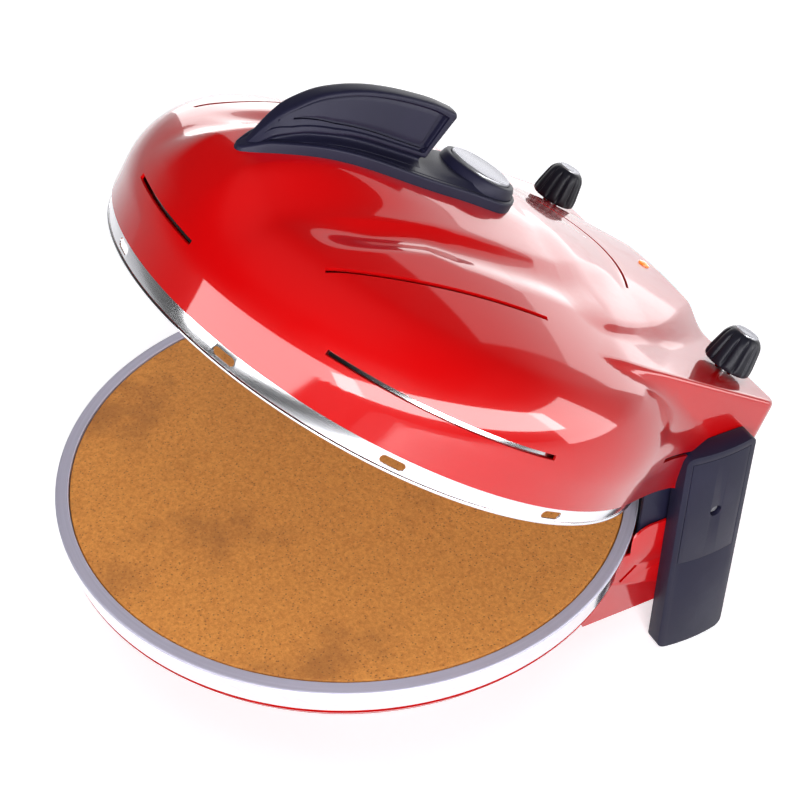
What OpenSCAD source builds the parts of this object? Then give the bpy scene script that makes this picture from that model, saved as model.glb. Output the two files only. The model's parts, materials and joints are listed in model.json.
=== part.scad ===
// Electric countertop pizza oven: a round stone in a bowl-shaped base under a domed lid.
// The lid hangs on two slab-shaped legs at the back and stands ajar, as it is shown.
// X runs to the right, Y to the hinge side and Z up. The oven stands on Z = 0.

/* [Stone] */
// Diameter of the baking stone
stone_d = 315; // [300:1:325]
// Thickness of the baking stone
stone_t = 14; // [10:1:16]
// Height of the stone's top face above the table
stone_h = 97; // [94:1:106]
// Radial gap between the stone and the ring round it
stone_gap = 0.6; // [0.4:0.1:1]

/* [Rim ring] */
// Width of the steel ring round the stone
ring_w = 7.5; // [6.5:0.5:9]
// Height of the ring's outer band
band_h = 18; // [15:1:20]
// How far the band draws in from top to bottom
band_taper = 2.6; // [1.6:0.2:3]
// How far the ring stands above the stone
ring_rise = 0.4; // [0.2:0.1:0.8]
// Radius of the ring's rolled outer edge
ring_round = 1.6; // [1.2:0.2:2]
// Thickness of the steel of the ring
steel = 1; // [0.8:0.1:1.2]
// Width of the ledge that carries the stone
ledge_w = 9; // [7:1:12]

/* [Base] */
// Thickness of the red shells
wall = 1.5; // [1.2:0.1:1.8]
// Depth of the bowl below the ring's band
bowl_h = 39; // [34:1:42]
// Radius of the bowl's rounded side
bowl_round = 78; // [70:1:90]
// Width of the box behind the bowl
rear_w = 236; // [228:1:240]
// Length of that box behind the stone's centre
rear_y = 180; // [176:1:184]
// Depth of that box below the stone's top face
rear_depth = 64; // [60:1:68]
// Diameter of the cover under the bowl
floor_d = 168; // [150:2:172]
// Thickness of sheet covers
sheet = 1.2; // [1:0.1:1.5]

/* [Legs and feet] */
// Thickness of a leg
leg_t = 12.4; // [11:0.2:14]
// Width of a leg, front to back
leg_w = 45; // [41:1:47]
// Height of a leg
leg_h = 150; // [144:1:156]
// How far a leg's outer face bulges
leg_bulge = 2.4; // [1:0.2:3]
// Height of the cover that closes the hinge bolt's recess
cover_h = 75; // [60:1:85]
// Thickness of that cover at its edge
cover_t = 2; // [1.6:0.2:2.4]
// Diameter of a front foot at the table
foot_d = 26; // [22:1:30]
// Thickness of the pad under a front foot
pad_t = 3; // [2:0.5:4]

/* [Hinge] */
// Distance of the hinge axis behind the stone's centre
pivot_y = 161.3; // [158:0.1:163]
// Height of the hinge axis above the stone's top face
pivot_up = 8; // [7:0.1:9]
// Diameter of a hinge bolt
bolt_d = 8; // [6:0.5:9]
// Radial running clearance round a hinge bolt
run_gap = 0.05; // [0.02:0.01:0.08]
// Angle at which the lid stands open
lid_open = 32.4; // [0:0.1:60]

/* [Lid] */
// Height of the crown above the stone's top face with the lid closed
dome_h = 95.5; // [92:0.5:99]
// Radius of the crown
crown_r = 340; // [320:5:380]
// Radius of the shoulder
shoulder_r = 44; // [38:1:48]
// Height of the red shell's lower edge above the ring
skirt_up = 11.3; // [10:0.1:13]
// Height of the control deck above the stone's top face
deck_h = 73.5; // [71:0.5:75]
// Where the rear wall meets the deck
deck_y = 171; // [169:1:173]
// Where the rear wall ends at the bottom
tail_y = 183; // [181:1:185]
// Radius of the deck's rear corners
corner_r = 8; // [5:1:10]
// Half width of the hood that runs under the handle
hood_x = 50; // [46:1:54]
// Width of the cooling slots
slot_w = 2.6; // [2:0.2:3.2]

/* [Heating] */
// Diameter of a heating tube
tube_d = 6.5; // [6:0.5:8]
// Radius of the heating rings
heat_r = 100; // [90:1:108]
// Thickness of the polished reflectors
mirror = 0.8; // [0.6:0.1:1]

/* [Handle] */
// Half width of the grip at its lower lip
grip_x = 10; // [9:0.5:11]
// Half width of the grip's top
grip_top_x = 5; // [4:0.5:6]
// Thickness of the plate under the grip
plate_t = 5.5; // [5:0.5:7]
// Diameter of the polished disc behind the grip
disc_d = 35; // [32:1:37]
// Width of the collar round the disc
collar_w = 3; // [2:0.5:4]
// Lean of the disc towards the back
disc_lean = 3; // [0:1:6]

/* [Knobs] */
// Diameter of a knob at its foot
knob_d = 27.6; // [26:0.2:30]
// Diameter of a knob at its top
knob_top_d = 20; // [18:0.5:22]
// Height of a knob
knob_h = 21; // [18:0.5:23]
// Gap between a knob and the deck
knob_gap = 3; // [2:0.5:4]
// Distance of each knob from the middle
knob_x = 91; // [86:1:92]
// Distance of the knobs behind the stone's centre
knob_y = 146; // [143:1:150]
// Number of grip grooves round a knob
knob_grooves = 12; // [8:1:14]
// Diameter of a knob's shaft
shaft_d = 6; // [5:0.5:6.5]

/* [Hidden] */
$fn = 96;

red = "#c8060e";
slate = "#33333f";
polished = "#c9cad2";
ring_grey = "#a9a6b4";

// Clearances
lid_gap = 0.6;       // between the lid's side walls and what stands beside them
seam = 0.3;          // between pieces that only meet
rim_gap = 0.3;       // under the closed lid
cut = 1;             // how far a cutter runs past a face

// Rim ring and bowl, heights above the table
stone_r = stone_d / 2;
ring_in = stone_r + stone_gap;
ring_r = ring_in + ring_w;
ring_z = stone_h + ring_rise;
band_z = ring_z - band_h;
seat_z = stone_h - stone_t;
bowl_r = ring_r - band_taper;
bowl_z = band_z - bowl_h;
bowl_flat_r = bowl_r - sqrt(pow(bowl_round, 2) - pow(bowl_round - bowl_h, 2));
lip_r = bowl_r - steel - seam;
lip_h = 4;

// Box behind the bowl
rear_x = rear_w / 2;
rear_z = stone_h - rear_depth;
rear_front_y = 90;
deck_drop = 16.5;
deck_z = stone_h - deck_drop;
floor_r = floor_d / 2;

// Pan under the stone
pan_flange_r = ring_in - 1;
pan_top_r = stone_r - ledge_w + 1;
pan_floor_r = 124;
pan_floor_z = seat_z - 24;

// Hinge
pivot_z = stone_h + pivot_up;
lid_x = rear_x - lid_gap;
bracket_t = 2;
bracket_x = lid_x - wall - lid_gap;
arm_t = 3;
arm_x = bracket_x - bracket_t - 1.8;
nut_t = 4.2;
bolt_r = bolt_d / 2;
head_r = 2.7;
head_sink = 1.8;     // from the leg's face down to the bolt's head
leg_y = pivot_y - 0.8;

// Lid, heights above the stone's top face with the lid closed
lid_r = bowl_r;
rim_up = ring_rise + rim_gap;
skirt_z = ring_rise + skirt_up;
ridge_r = 400;
ridge_h = 94;
ridge_slope = 3.4;
heat_up = 44;
hood_rise = 11;
hood_base = 1.2;
hood_sink = 0.06;
hood_peak_y = -122;
hood_peak_w = 95;
hood_front_y = 3 - lid_r;
hood_nose_y = 44;
hood_nose_w = 56;
rim_r = lid_r - 2.8;
reflector_r = lid_r - wall - 1.5;
reflector_round = 36;
reflector_up = 60;
arm_flange_w = 3.4;

// Handle and controls
disc_up = 107.3;
disc_t = 1.6;
screw_r = 2;
screw_l = 9;
handle_screw_y = [-96, -56];
panel_deep = 1.2;
panel_rim = 0.3;
cap_r = 6.8;
pilot_r = 3.5;
pilot_y = 148;

// The open lid's rear edge and the ring's front edge set the middle of the footprint
reach_y = pivot_y + (deck_y - pivot_y) * cos(lid_open)
    + (ridge_h - deck_y * tan(ridge_slope) - pivot_up) * sin(lid_open);
frame_y = -(reach_y - ring_r) / 2;

// Points along an arc round [x, y]
function arc(x, y, r, from, to, steps = 12) =
    [for (i = [0 : steps]) let (a = from + (to - from) * i / steps)
        [x + r * cos(a), y + r * sin(a)]];

// The same points with the first coordinate turned round, in reverse order
function mirrored(points) =
    [for (i = [len(points) - 1 : -1 : 0]) [-points[i][0], points[i][1]]];

// Places a base piece: its own zero is the stone's centre at table height
module on_base() {
    translate([0, frame_y, 0]) children();
}

// Places a lid piece: drawn closed, with its zero at the centre of the stone's top face
module on_lid() {
    on_base() translate([0, pivot_y, pivot_z]) rotate([-lid_open, 0, 0])
        translate([0, -pivot_y, -pivot_up]) children();
}

// Draws an outline given in Y and Z as a slab from x0 to x1
module side_slab(x0, x1) {
    translate([x0, 0, 0]) rotate([90, 0, 90]) linear_extrude(x1 - x0) children();
}

// Turns a right-hand piece into a left-hand one where side is -1
module on_side(side) {
    if (side < 0) mirror([1, 0, 0]) children();
    else children();
}

// Copies what follows on the left and the right
module both_sides() {
    for (side = [-1, 1]) on_side(side) children();
}

// Outline of a narrow slot from p to q that bulges to the left of its direction
function bowed_slot(p, q, bow, width) =
    let (d = q - p,
        chord = norm(d),
        n = [-d[1], d[0]] / chord,
        r = (chord * chord / 4 + bow * bow) / (2 * bow),
        c = (p + q) / 2 + n * (bow - r),
        mid = atan2(n[1], n[0]),
        half = asin(chord / 2 / r))
    concat(arc(c[0], c[1], r + width / 2, mid + half, mid - half),
        arc(c[0], c[1], r - width / 2, mid - half, mid + half));

// ---------- Base ----------

// Outside of the bowl, up to the band
module bowl_form() {
    rise = asin((bowl_round - bowl_h) / bowl_round);
    rotate_extrude()
        polygon(concat([[0, bowl_z]],
            arc(bowl_flat_r, bowl_z + bowl_round, bowl_round, -90, -rise),
            [[0, band_z]]));
}

// Room inside the bowl and inside the lip that stands in the ring's band
module bowl_space() {
    shoulder = 3;
    inner_round = bowl_round - wall;
    rise = asin((bowl_round - bowl_h + shoulder) / inner_round);
    rotate_extrude()
        polygon(concat([[0, bowl_z + wall]],
            arc(bowl_flat_r, bowl_z + bowl_round, inner_round, -90, -rise),
            [[lip_r - wall, band_z - 2], [lip_r - wall, stone_h], [0, stone_h]]));
}

module rear_box_form(inset, top) {
    translate([-rear_x + inset, rear_front_y + inset, rear_z + inset])
        cube([2 * (rear_x - inset), rear_y - rear_front_y - 2 * inset, top - rear_z - inset]);
}

// Upper edge of the rear box: rounded at the front, and cut low behind the hinge
module rear_box_top() {
    front_r = 16;
    front_y = 114;
    notch_y = pivot_y - 3;
    notch_r = 9;
    side_slab(-rear_x - cut, rear_x + cut)
        polygon(concat(
            [[rear_front_y - cut, rear_z - cut], [rear_front_y - cut, band_z]],
            [[front_y, band_z]],
            arc(front_y + front_r, stone_h - front_r, front_r, 180, 90),
            arc(notch_y - notch_r, stone_h - notch_r, notch_r, 90, 0, 6),
            [[notch_y, deck_z], [rear_y + cut, deck_z], [rear_y + cut, rear_z - cut]]));
}

module base_shell() {
    slot_z = band_z - 4.5;
    color(red) on_base() difference() {
        union() {
            bowl_form();
            intersection() {
                rear_box_form(0, stone_h);
                rear_box_top();
            }
            translate([0, 0, band_z - cut]) cylinder(r = lip_r, h = lip_h + cut);
        }
        bowl_space();
        rear_box_form(wall, stone_h + cut);
        // room for the ring's band over the bowl's shoulder
        difference() {
            translate([0, 0, band_z]) cylinder(r = ring_r + seam, h = band_h + 2 * cut);
            translate([0, 0, band_z - cut]) cylinder(r = lip_r, h = lip_h + cut);
        }
        translate([0, 0, bowl_z - cut]) cylinder(r = floor_r - 7, h = wall + 2 * cut);
        // the two long slots under the band
        for (a = [-47, -177]) rotate([0, 0, a]) rotate_extrude(angle = 44)
            translate([bowl_r - 8, slot_z]) square([10, 1.6]);
        both_sides() translate([rear_x - wall - cut, 0, 0]) base_side_slot();
        translate([gland_x, rear_y - wall - cut, gland_z]) rotate([-90, 0, 0])
            cylinder(r = gland_r + seam, h = wall + 2 * cut);
        both_sides() leg_screw_spots() cylinder(r = 2.1, h = 2 * (wall + cut), center = true);
    }
}

// A short slanted slot in the side of the rear box
module base_side_slot() {
    start = [111, stone_h - 36.5];
    finish = [121, stone_h - 27.5];
    width = 1.6;
    rotate([90, 0, 90]) linear_extrude(wall + 2 * cut)
        polygon([start, [start[0] + width, start[1] - width],
            [finish[0] + width, finish[1] - width], finish]);
}

module rim_ring() {
    inner_x = ring_in + steel;
    color(ring_grey) on_base() rotate_extrude()
        polygon(concat(
            [[ring_in, ring_z]],
            arc(ring_r - ring_round, ring_z - ring_round, ring_round, 90, 0, 6),
            [[bowl_r, band_z], [bowl_r - steel, band_z],
                [ring_r - steel, ring_z - ring_round], [ring_r - ring_round, ring_z - steel],
                [inner_x, ring_z - steel], [inner_x, seat_z - steel],
                [stone_r - ledge_w, seat_z - steel], [stone_r - ledge_w, seat_z],
                [ring_in, seat_z]]));
}

module heater_pan() {
    flange_z = seat_z - steel;
    color(polished) on_base() difference() {
        rotate_extrude()
            polygon([[0, pan_floor_z], [pan_floor_r, pan_floor_z],
                [pan_top_r, flange_z - mirror], [pan_flange_r, flange_z - mirror],
                [pan_flange_r, flange_z], [pan_top_r - 1, flange_z],
                [pan_floor_r - 0.6, pan_floor_z + mirror], [0, pan_floor_z + mirror]]);
        for (x = [-1, 1]) translate([x * heater_tail_x, pan_floor_r - 14, lower_heat_z])
            rotate([-90, 0, 0]) cylinder(r = tube_d / 2 + 0.8, h = 50);
        translate([0, 0, pan_floor_z - cut]) cylinder(r = centre_bolt_r, h = mirror + 2 * cut);
    }
}

module baking_stone() {
    bevel = 1.2;
    color("#c98f4f") on_base() rotate_extrude()
        polygon([[0, seat_z], [stone_r - bevel, seat_z], [stone_r, seat_z + bevel],
            [stone_r, stone_h - bevel], [stone_r - bevel, stone_h], [0, stone_h]]);
}

// Heating tube: an open ring whose ends bend to the back and run out as two straight tails
tube_fn = 24;
heater_gap = 14;
heater_bend = 12;
heater_tail_x = (heat_r + heater_bend) * sin(heater_gap) - heater_bend;
heater_tail_y = (heat_r + heater_bend) * cos(heater_gap);
lower_heat_z = pan_floor_z + mirror + 10;
lower_tail_end = ring_in;
upper_tail_end = lid_r + 1;

module heating_tube(tail_end) {
    rotate([0, 0, 90 + heater_gap - 1]) rotate_extrude(angle = 360 - 2 * heater_gap + 2)
        translate([heat_r, 0]) circle(d = tube_d, $fn = tube_fn);
    both_sides() {
        // the bends are pressed a little thicker than the tube
        translate([heater_tail_x + heater_bend, heater_tail_y, 0]) rotate([0, 0, 180])
            rotate_extrude(angle = 90 - heater_gap)
                translate([heater_bend, 0]) circle(d = tube_d + 0.4, $fn = tube_fn);
        translate([heater_tail_x, heater_tail_y - 1, 0]) rotate([-90, 0, 0])
            cylinder(d = tube_d, h = tail_end - heater_tail_y + 1);
    }
}

// Posts that hold a heating tube away from its reflector, at three places
clip_gap = 0.1;
module tube_posts(length) {
    for (a = [30, 150, 270]) rotate([0, 0, a]) translate([heat_r, 0, 0]) difference() {
        translate([-tube_d / 2 - 1.5, -2, -length]) cube([tube_d + 3, 4, length]);
        rotate([90, 0, 0]) cylinder(d = tube_d + 2 * clip_gap, h = 6, center = true);
    }
}

module lower_element() {
    color("#6d6a66") on_base() translate([0, 0, lower_heat_z]) heating_tube(lower_tail_end);
}

module lower_element_clips() {
    color(polished) on_base() translate([0, 0, lower_heat_z])
        tube_posts(lower_heat_z - pan_floor_z - mirror);
}

// One long bolt ties the pan to the cover under the bowl
centre_bolt_r = 3;
module centre_bolt() {
    head_h = 3;
    bottom = bowl_z - sheet;
    color(polished) on_base() {
        translate([0, 0, bottom]) cylinder(r = centre_bolt_r, h = pan_floor_z + mirror - bottom);
        translate([0, 0, pan_floor_z + mirror]) cylinder(r = 6, h = head_h);
        translate([0, 0, bottom - head_h]) cylinder(r = 6, h = head_h, $fn = 6);
    }
}

module bottom_plate() {
    vents = 12;
    color("#8d8f94") on_base() translate([0, 0, bowl_z - sheet]) difference() {
        cylinder(r = floor_r, h = sheet);
        for (i = [0 : vents - 1]) rotate([0, 0, i * 360 / vents])
            translate([22, -2, -cut]) cube([22, 4, sheet + 2 * cut]);
        translate([0, 0, -cut]) cylinder(r = centre_bolt_r, h = sheet + 2 * cut);
        floor_screw_spots() translate([0, 0, -cut]) cylinder(r = 2, h = sheet + 2 * cut);
    }
}

module floor_screw_spots() {
    for (a = [0 : 90 : 270]) rotate([0, 0, a + 20]) translate([floor_r - 3.5, 0, 0]) children();
}

module bottom_screws() {
    color(polished) on_base() translate([0, 0, bowl_z - sheet]) floor_screw_spots() {
        translate([0, 0, -1.6]) cylinder(r = 3.4, h = 1.6);
        cylinder(r = 2, h = sheet);
    }
}

// Front feet stand under the bowl
foot_x = floor_r - 36;
foot_y = 39 - floor_r;
module front_foot(side) {
    top = bowl_z - sheet;
    color(slate) on_base() translate([side * foot_x, foot_y, 0]) rotate_extrude()
        polygon([[0, pad_t], [foot_d / 2 - 1, pad_t], [foot_d / 2, pad_t + 1],
            [foot_d / 2 + 3, top - 3], [foot_d / 2 + 3, top], [0, top]]);
}

module foot_pads() {
    color("#1b1b1d") on_base() both_sides() translate([foot_x, foot_y, 0])
        cylinder(d = foot_d - 3, h = pad_t);
}

// Sheet that closes the rear box between the ring and its rear wall
module rear_deck() {
    half = bracket_x - bracket_t - seam;
    color(slate) on_base() difference() {
        translate([-half, 96, deck_z - sheet - cut])
            cube([2 * half, rear_y - wall - seam - 96, sheet]);
        translate([0, 0, deck_z - 2 * cut - sheet]) cylinder(r = ring_r + seam, h = 10);
    }
}

module terminal_block() {
    size = [52, 18, 14];
    color("#d8d4c8") on_base() difference() {
        translate([-size[0] / 2, rear_y - 34, rear_z + wall]) cube(size);
        for (i = [-2 : 2]) translate([i * 10, rear_y - 34 + size[1] / 2, rear_z + wall + 6])
            cylinder(d = 4, h = size[2]);
    }
}

// Grommet of the mains lead in the rear wall
gland_x = 74;
gland_z = stone_h - 42;
gland_r = 6.5;
module cable_gland() {
    lead_r = 3.6;
    color("#1b1b1d") on_base() translate([gland_x, rear_y, gland_z]) rotate([-90, 0, 0])
        difference() {
            rotate_extrude()
                polygon([[0, -wall - 4], [gland_r, -wall - 4], [gland_r, 0], [gland_r + 2.5, 0],
                    [gland_r + 2.5, 3], [gland_r - 1, 4], [gland_r - 2, 16], [0, 16]]);
            translate([0, 0, -wall - 4 - cut]) cylinder(r = lead_r, h = 20 + wall + 2 * cut);
        }
}

// ---------- Legs and hinge ----------

// The slab of a leg, flat inside and slightly convex outside
module leg_form() {
    bulge_r = (pow(leg_w / 2, 2) + pow(leg_bulge, 2)) / (2 * leg_bulge);
    side_r = 5;
    y0 = leg_y - leg_w / 2;
    y1 = leg_y + leg_w / 2;
    intersection() {
        linear_extrude(leg_h) intersection() {
            translate([rear_x, y0]) square([leg_t, leg_w]);
            translate([rear_x + leg_t - bulge_r, leg_y]) circle(r = bulge_r, $fn = 360);
        }
        side_slab(rear_x, rear_x + leg_t)
            polygon(concat(
                arc(y0 + side_r, side_r, side_r, 180, 270, 6),
                arc(y1 - side_r, side_r, side_r, 270, 360, 6),
                arc(y1 - side_r, leg_h - side_r, side_r, 0, 90, 6),
                arc(y0 + side_r, leg_h - side_r, side_r, 90, 180, 6)));
    }
}

// Space of the hinge cover in a leg's outer face, grown by a seam for the pocket
module cover_space(grow) {
    margin = 4;
    bottom = leg_h - 5 - cover_h;
    inner_x = rear_x + leg_t - leg_bulge - cover_t;
    translate([inner_x, leg_y - leg_w / 2 + margin - grow, bottom - grow])
        cube([leg_t, leg_w - 2 * margin + 2 * grow, cover_h + 2 * grow]);
}

module leg_screw_spots() {
    for (p = [[leg_y - 12, -30], [leg_y + 12, -30]])
        translate([rear_x, p[0], stone_h + p[1]]) rotate([0, 90, 0]) children();
}

module at_pivot() {
    translate([0, pivot_y, pivot_z]) rotate([0, 90, 0]) children();
}

module leg(side) {
    color(slate) on_base() on_side(side) difference() {
        leg_form();
        cover_space(seam);
        at_pivot() cylinder(r = bolt_r, h = 200);
        leg_screw_spots() cylinder(r = 2, h = 16, center = true);
    }
}

module leg_cover(side) {
    color("#2c2c38") on_base() on_side(side) difference() {
        intersection() {
            leg_form();
            cover_space(0);
        }
        at_pivot() cylinder(r = head_r + 0.9, h = 200);
    }
}

// Dark bracket that fills the gap between lid and base behind the ring
module hinge_bracket(side) {
    front_y = 122.8;
    round_r = 8;
    top_y = pivot_y + 3;
    top_z = stone_h + 34;
    low_z = stone_h - 44;
    eye_r = bolt_r + 5;
    x0 = bracket_x - bracket_t;
    color(slate) on_base() on_side(side) difference() {
        union() {
            side_slab(x0, bracket_x)
                polygon(concat(
                    [[front_y, low_z]],
                    arc(front_y + round_r, top_z - round_r, round_r, 180, 90, 6),
                    [[top_y, top_z], [pivot_y + eye_r, pivot_z],
                        [pivot_y - 6, deck_z + 4], [pivot_y - 6, low_z]]));
            at_pivot() translate([0, 0, x0]) cylinder(r = eye_r, h = bracket_t);
            leg_screw_pads();
        }
        at_pivot() cylinder(r = bolt_r, h = 200);
        leg_screw_spots() cylinder(r = 2, h = 20, center = true);
    }
}

// Pads that space a bracket from the side of the rear box
module leg_screw_pads() {
    depth = rear_x - wall - bracket_x;
    translate([-wall - depth, 0, 0]) intersection() {
        leg_screw_spots() cylinder(r = 5, h = depth);
        translate([rear_x - cut, 0, 0]) cube([10, pivot_y - 6, stone_h]);
    }
}

// Shouldered bolt with a small bright head in the cover's hole
module hinge_bolt(side) {
    inner_x = arm_x - arm_t - seam - nut_t - 1;
    shank_end = rear_x + leg_t - leg_bulge - cover_t - seam;
    color("#e6e6ea") on_base() on_side(side) at_pivot() {
        translate([0, 0, inner_x]) cylinder(r = bolt_r, h = shank_end - inner_x);
        translate([0, 0, shank_end]) cylinder(r = head_r, h = cover_t + leg_bulge - head_sink);
    }
}

module hinge_nuts() {
    color("#b9bac0") on_base() both_sides() at_pivot()
        translate([0, 0, arm_x - arm_t - seam - nut_t]) difference() {
            cylinder(r = bolt_r + 3.5, h = nut_t, $fn = 6);
            translate([0, 0, -cut]) cylinder(r = bolt_r, h = nut_t + 2 * cut);
        }
}

module leg_screws() {
    inner_x = bracket_x - bracket_t;
    color("#b9bac0") on_base() both_sides() intersection() {
        leg_screw_spots() {
            translate([0, 0, inner_x - rear_x]) cylinder(r = 2, h = 8 - inner_x + rear_x);
            translate([0, 0, inner_x - rear_x - 1.6]) cylinder(r = 3.6, h = 1.6);
        }
        cube([rear_x + leg_t, rear_y, stone_h]);
    }
}

// ---------- Lid ----------

// Outline of the dome in radius and height, inset from the outside
function dome_points(inset, low) =
    let (turn = asin((lid_r - shoulder_r) / (crown_r - shoulder_r)),
        crown_z = dome_h - crown_r,
        side_z = crown_z + (crown_r - shoulder_r) * cos(turn))
    concat([[0, low], [lid_r - inset, low]],
        arc(lid_r - shoulder_r, side_z, shoulder_r - inset, 0, 90 - turn),
        arc(0, crown_z, crown_r - inset, 90 - turn, 90, 10));

module dome_form(inset, low) {
    rotate_extrude() polygon(dome_points(inset, low));
}

// Plan of the control deck, with round rear corners
module deck_plan(inset, rear) {
    r = corner_r - inset;
    x = lid_x - inset - r;
    y = rear - inset - r;
    polygon(concat([[-x - r, 0], [x + r, 0]], arc(x, y, r, 0, 90, 5), arc(-x, y, r, 90, 180, 5)));
}

// The box that carries the controls: it leans out towards the bottom at the back
module deck_form(inset, low) {
    slope = (tail_y - deck_y) / (deck_h - skirt_z);
    slice = 0.01;
    hull() {
        translate([0, 0, low]) linear_extrude(slice)
            deck_plan(inset, deck_y + slope * (deck_h - low));
        translate([0, 0, deck_h - inset - slice]) linear_extrude(slice)
            deck_plan(inset, deck_y + slope * inset);
    }
}

// The raised back: a tapering step under a wide round ridge that sinks towards the rear
module back_form(inset) {
    slice = 0.01;
    intersection() {
        hull() {
            translate([0, 0, deck_h - 2 * wall]) linear_extrude(slice)
                back_plan([98, 89, 78, 66, 46], inset, 0);
            translate([0, 0, ridge_h + 1]) linear_extrude(slice)
                back_plan([96, 89.5, 68, 43, 13], inset, 8);
        }
        translate([0, 0, ridge_h - ridge_r]) rotate([-90 - ridge_slope, 0, 0])
            translate([0, 0, -60]) cylinder(r = ridge_r - inset, h = 320, $fn = 360);
    }
}

// Plan of the raised back from its half widths at five places from front to rear
module back_plan(half, inset, pull) {
    at_y = [8, 65, 105, 138, deck_y - pull - inset];
    right = [for (i = [0 : 4]) [half[i] - inset, at_y[i]]];
    polygon(concat([[0, 2]], right, mirrored(right)));
}

// Height of the plain dome at a distance from its middle
function dome_z(r) =
    let (turn = (lid_r - shoulder_r) / (crown_r - shoulder_r),
        crown_z = dome_h - crown_r,
        side_z = crown_z + (crown_r - shoulder_r) * sqrt(1 - turn * turn))
    r < crown_r * turn
        ? crown_z + sqrt(crown_r * crown_r - r * r)
        : side_z + sqrt(max(0, pow(shoulder_r, 2) - pow(r - lid_r + shoulder_r, 2)));

// How far the hood's ridge stands above the dome: most of it under the grip, and
// nothing at the front edge
function hood_lift(y) =
    let (fade = min(1, max(0, (y - hood_front_y) / 22)),
        swell = pow(cos(min(90, abs(y - hood_peak_y) / hood_peak_w * 90)), 2))
    (hood_rise * swell + hood_base) * fade * (2 - fade);

// Half width of the hood, which ends in a round nose and stays within the rim
function hood_half(y) =
    y < hood_nose_y ? min(hood_x, sqrt(pow(lid_r - 1.5, 2) - y * y))
        : hood_x * sqrt(1 - pow((y - hood_nose_y) / hood_nose_w, 2));

// Share of the lift across the hood: flat in the middle, then a hollow flank
// that ends just under the dome
function hood_share(u) =
    let (t = max(0, (abs(u) - 0.3) / 0.7))
    (1 + hood_sink) * pow(1 - t * t * (3 - 2 * t), 1.3) - hood_sink;

function hood_z(x, y) =
    dome_z(norm([x, y])) + hood_lift(y) * hood_share(x / hood_half(y));

// The hood under the handle, lofted over the dome in rows from front to back
module hood_form(inset) {
    rows = 18;
    cols = 12;
    low = 30;
    y0 = hood_front_y + 3 * inset;
    y1 = hood_nose_y + hood_nose_w - 5 - inset;
    top = [for (j = [0 : rows]) let (y = y0 + (y1 - y0) * pow(j / rows, 1.3))
        for (i = [0 : cols]) let (u = 2 * i / cols - 1, x = u * hood_half(y))
            [x - u * inset, y, hood_z(x, y) - inset]];
    cells = [for (j = [0 : rows - 1]) for (i = [0 : cols - 1]) j * (cols + 1) + i];
    edge = concat([for (i = [0 : cols - 1]) i], [for (j = [0 : rows - 1]) j * (cols + 1) + cols],
        [for (i = [cols : -1 : 1]) rows * (cols + 1) + i], [for (j = [rows : -1 : 1]) j * (cols + 1)]);
    foot = [for (k = edge) [top[k][0], top[k][1], low]];
    n = len(top);
    m = len(edge);
    tops = [for (a = cells) for (t = [[a, a + cols + 1, a + cols + 2], [a, a + cols + 2, a + 1]]) t];
    sides = [for (k = [0 : m - 1]) let (a = edge[k], b = edge[(k + 1) % m], c = n + (k + 1) % m)
        for (t = [[a, b, c], [a, c, n + k], [n + k, c, n + m]]) t];
    polyhedron(points = concat(top, foot, [[0, 0, low]]), faces = concat(tops, sides));
}

// Dome and hood alone, for what sits on them
module crown_form(inset, low) {
    dome_form(inset, low);
    hood_form(inset);
}

module lid_form(inset, low) {
    crown_form(inset, low);
    deck_form(inset, low);
    back_form(inset);
}

module knob_spot() {
    translate([knob_x, knob_y, deck_h]) children();
}

// The lamp lies on the raised back, square to its sloping top
module pilot_spot() {
    translate([0, pilot_y, ridge_h - pilot_y * tan(ridge_slope)]) rotate([-ridge_slope, 0, 0])
        children();
}

module lid_shell() {
    color(red) on_lid() difference() {
        lid_form(0, skirt_z);
        lid_form(wall, skirt_z - cut);
        lid_slots();
        // notches that clear the hinge bolts
        translate([0, pivot_y, pivot_up]) rotate([0, 90, 0])
            cylinder(r = bolt_r + 2.5, h = 2 * lid_x + 4, center = true);
        both_sides() knob_spot() cylinder(d = shaft_d + 4, h = 4 * wall, center = true);
        pilot_spot() cylinder(r = pilot_r, h = 4 * wall, center = true);
        handle_screw_spots() translate([0, 0, -10]) cylinder(r = screw_r + 0.2, h = 20);
    }
}

// Cooling slots: three low ones round the dome, a bowed one on each side of the
// hood, one behind it, and one through each side wall of the deck
module lid_slots() {
    low_z = 36.5;
    side = [[79, -120], [103, -6]];
    rear = [[47, 94], [-47, 94]];
    for (a = [[-101.3, 22.6], [-48, 43.4], [-175.4, 43.4]])
        rotate([0, 0, a[0]]) rotate_extrude(angle = a[1])
            translate([lid_r - 10, low_z]) square([12, slot_w]);
    both_sides() {
        translate([0, 0, 50]) linear_extrude(60)
            polygon(bowed_slot(side[1], side[0], 1.8, slot_w));
        translate([lid_x - 6, 96, low_z - 2]) cube([40, 40, slot_w - 0.6]);
    }
    translate([0, 0, deck_h + 4]) linear_extrude(40)
        polygon(bowed_slot(rear[1], rear[0], 14.5, slot_w - 0.4));
}

// ---------- Inside the lid ----------

// Outline of the polished reflector in radius and height
function reflector_points(inset) =
    concat([[rim_r - inset, rim_up], [lid_r - wall - inset, skirt_z + 1.5]],
        arc(reflector_r - reflector_round, reflector_up - reflector_round,
            reflector_round - inset, 0, 90, 10),
        [[0, reflector_up - inset]]);

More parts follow.
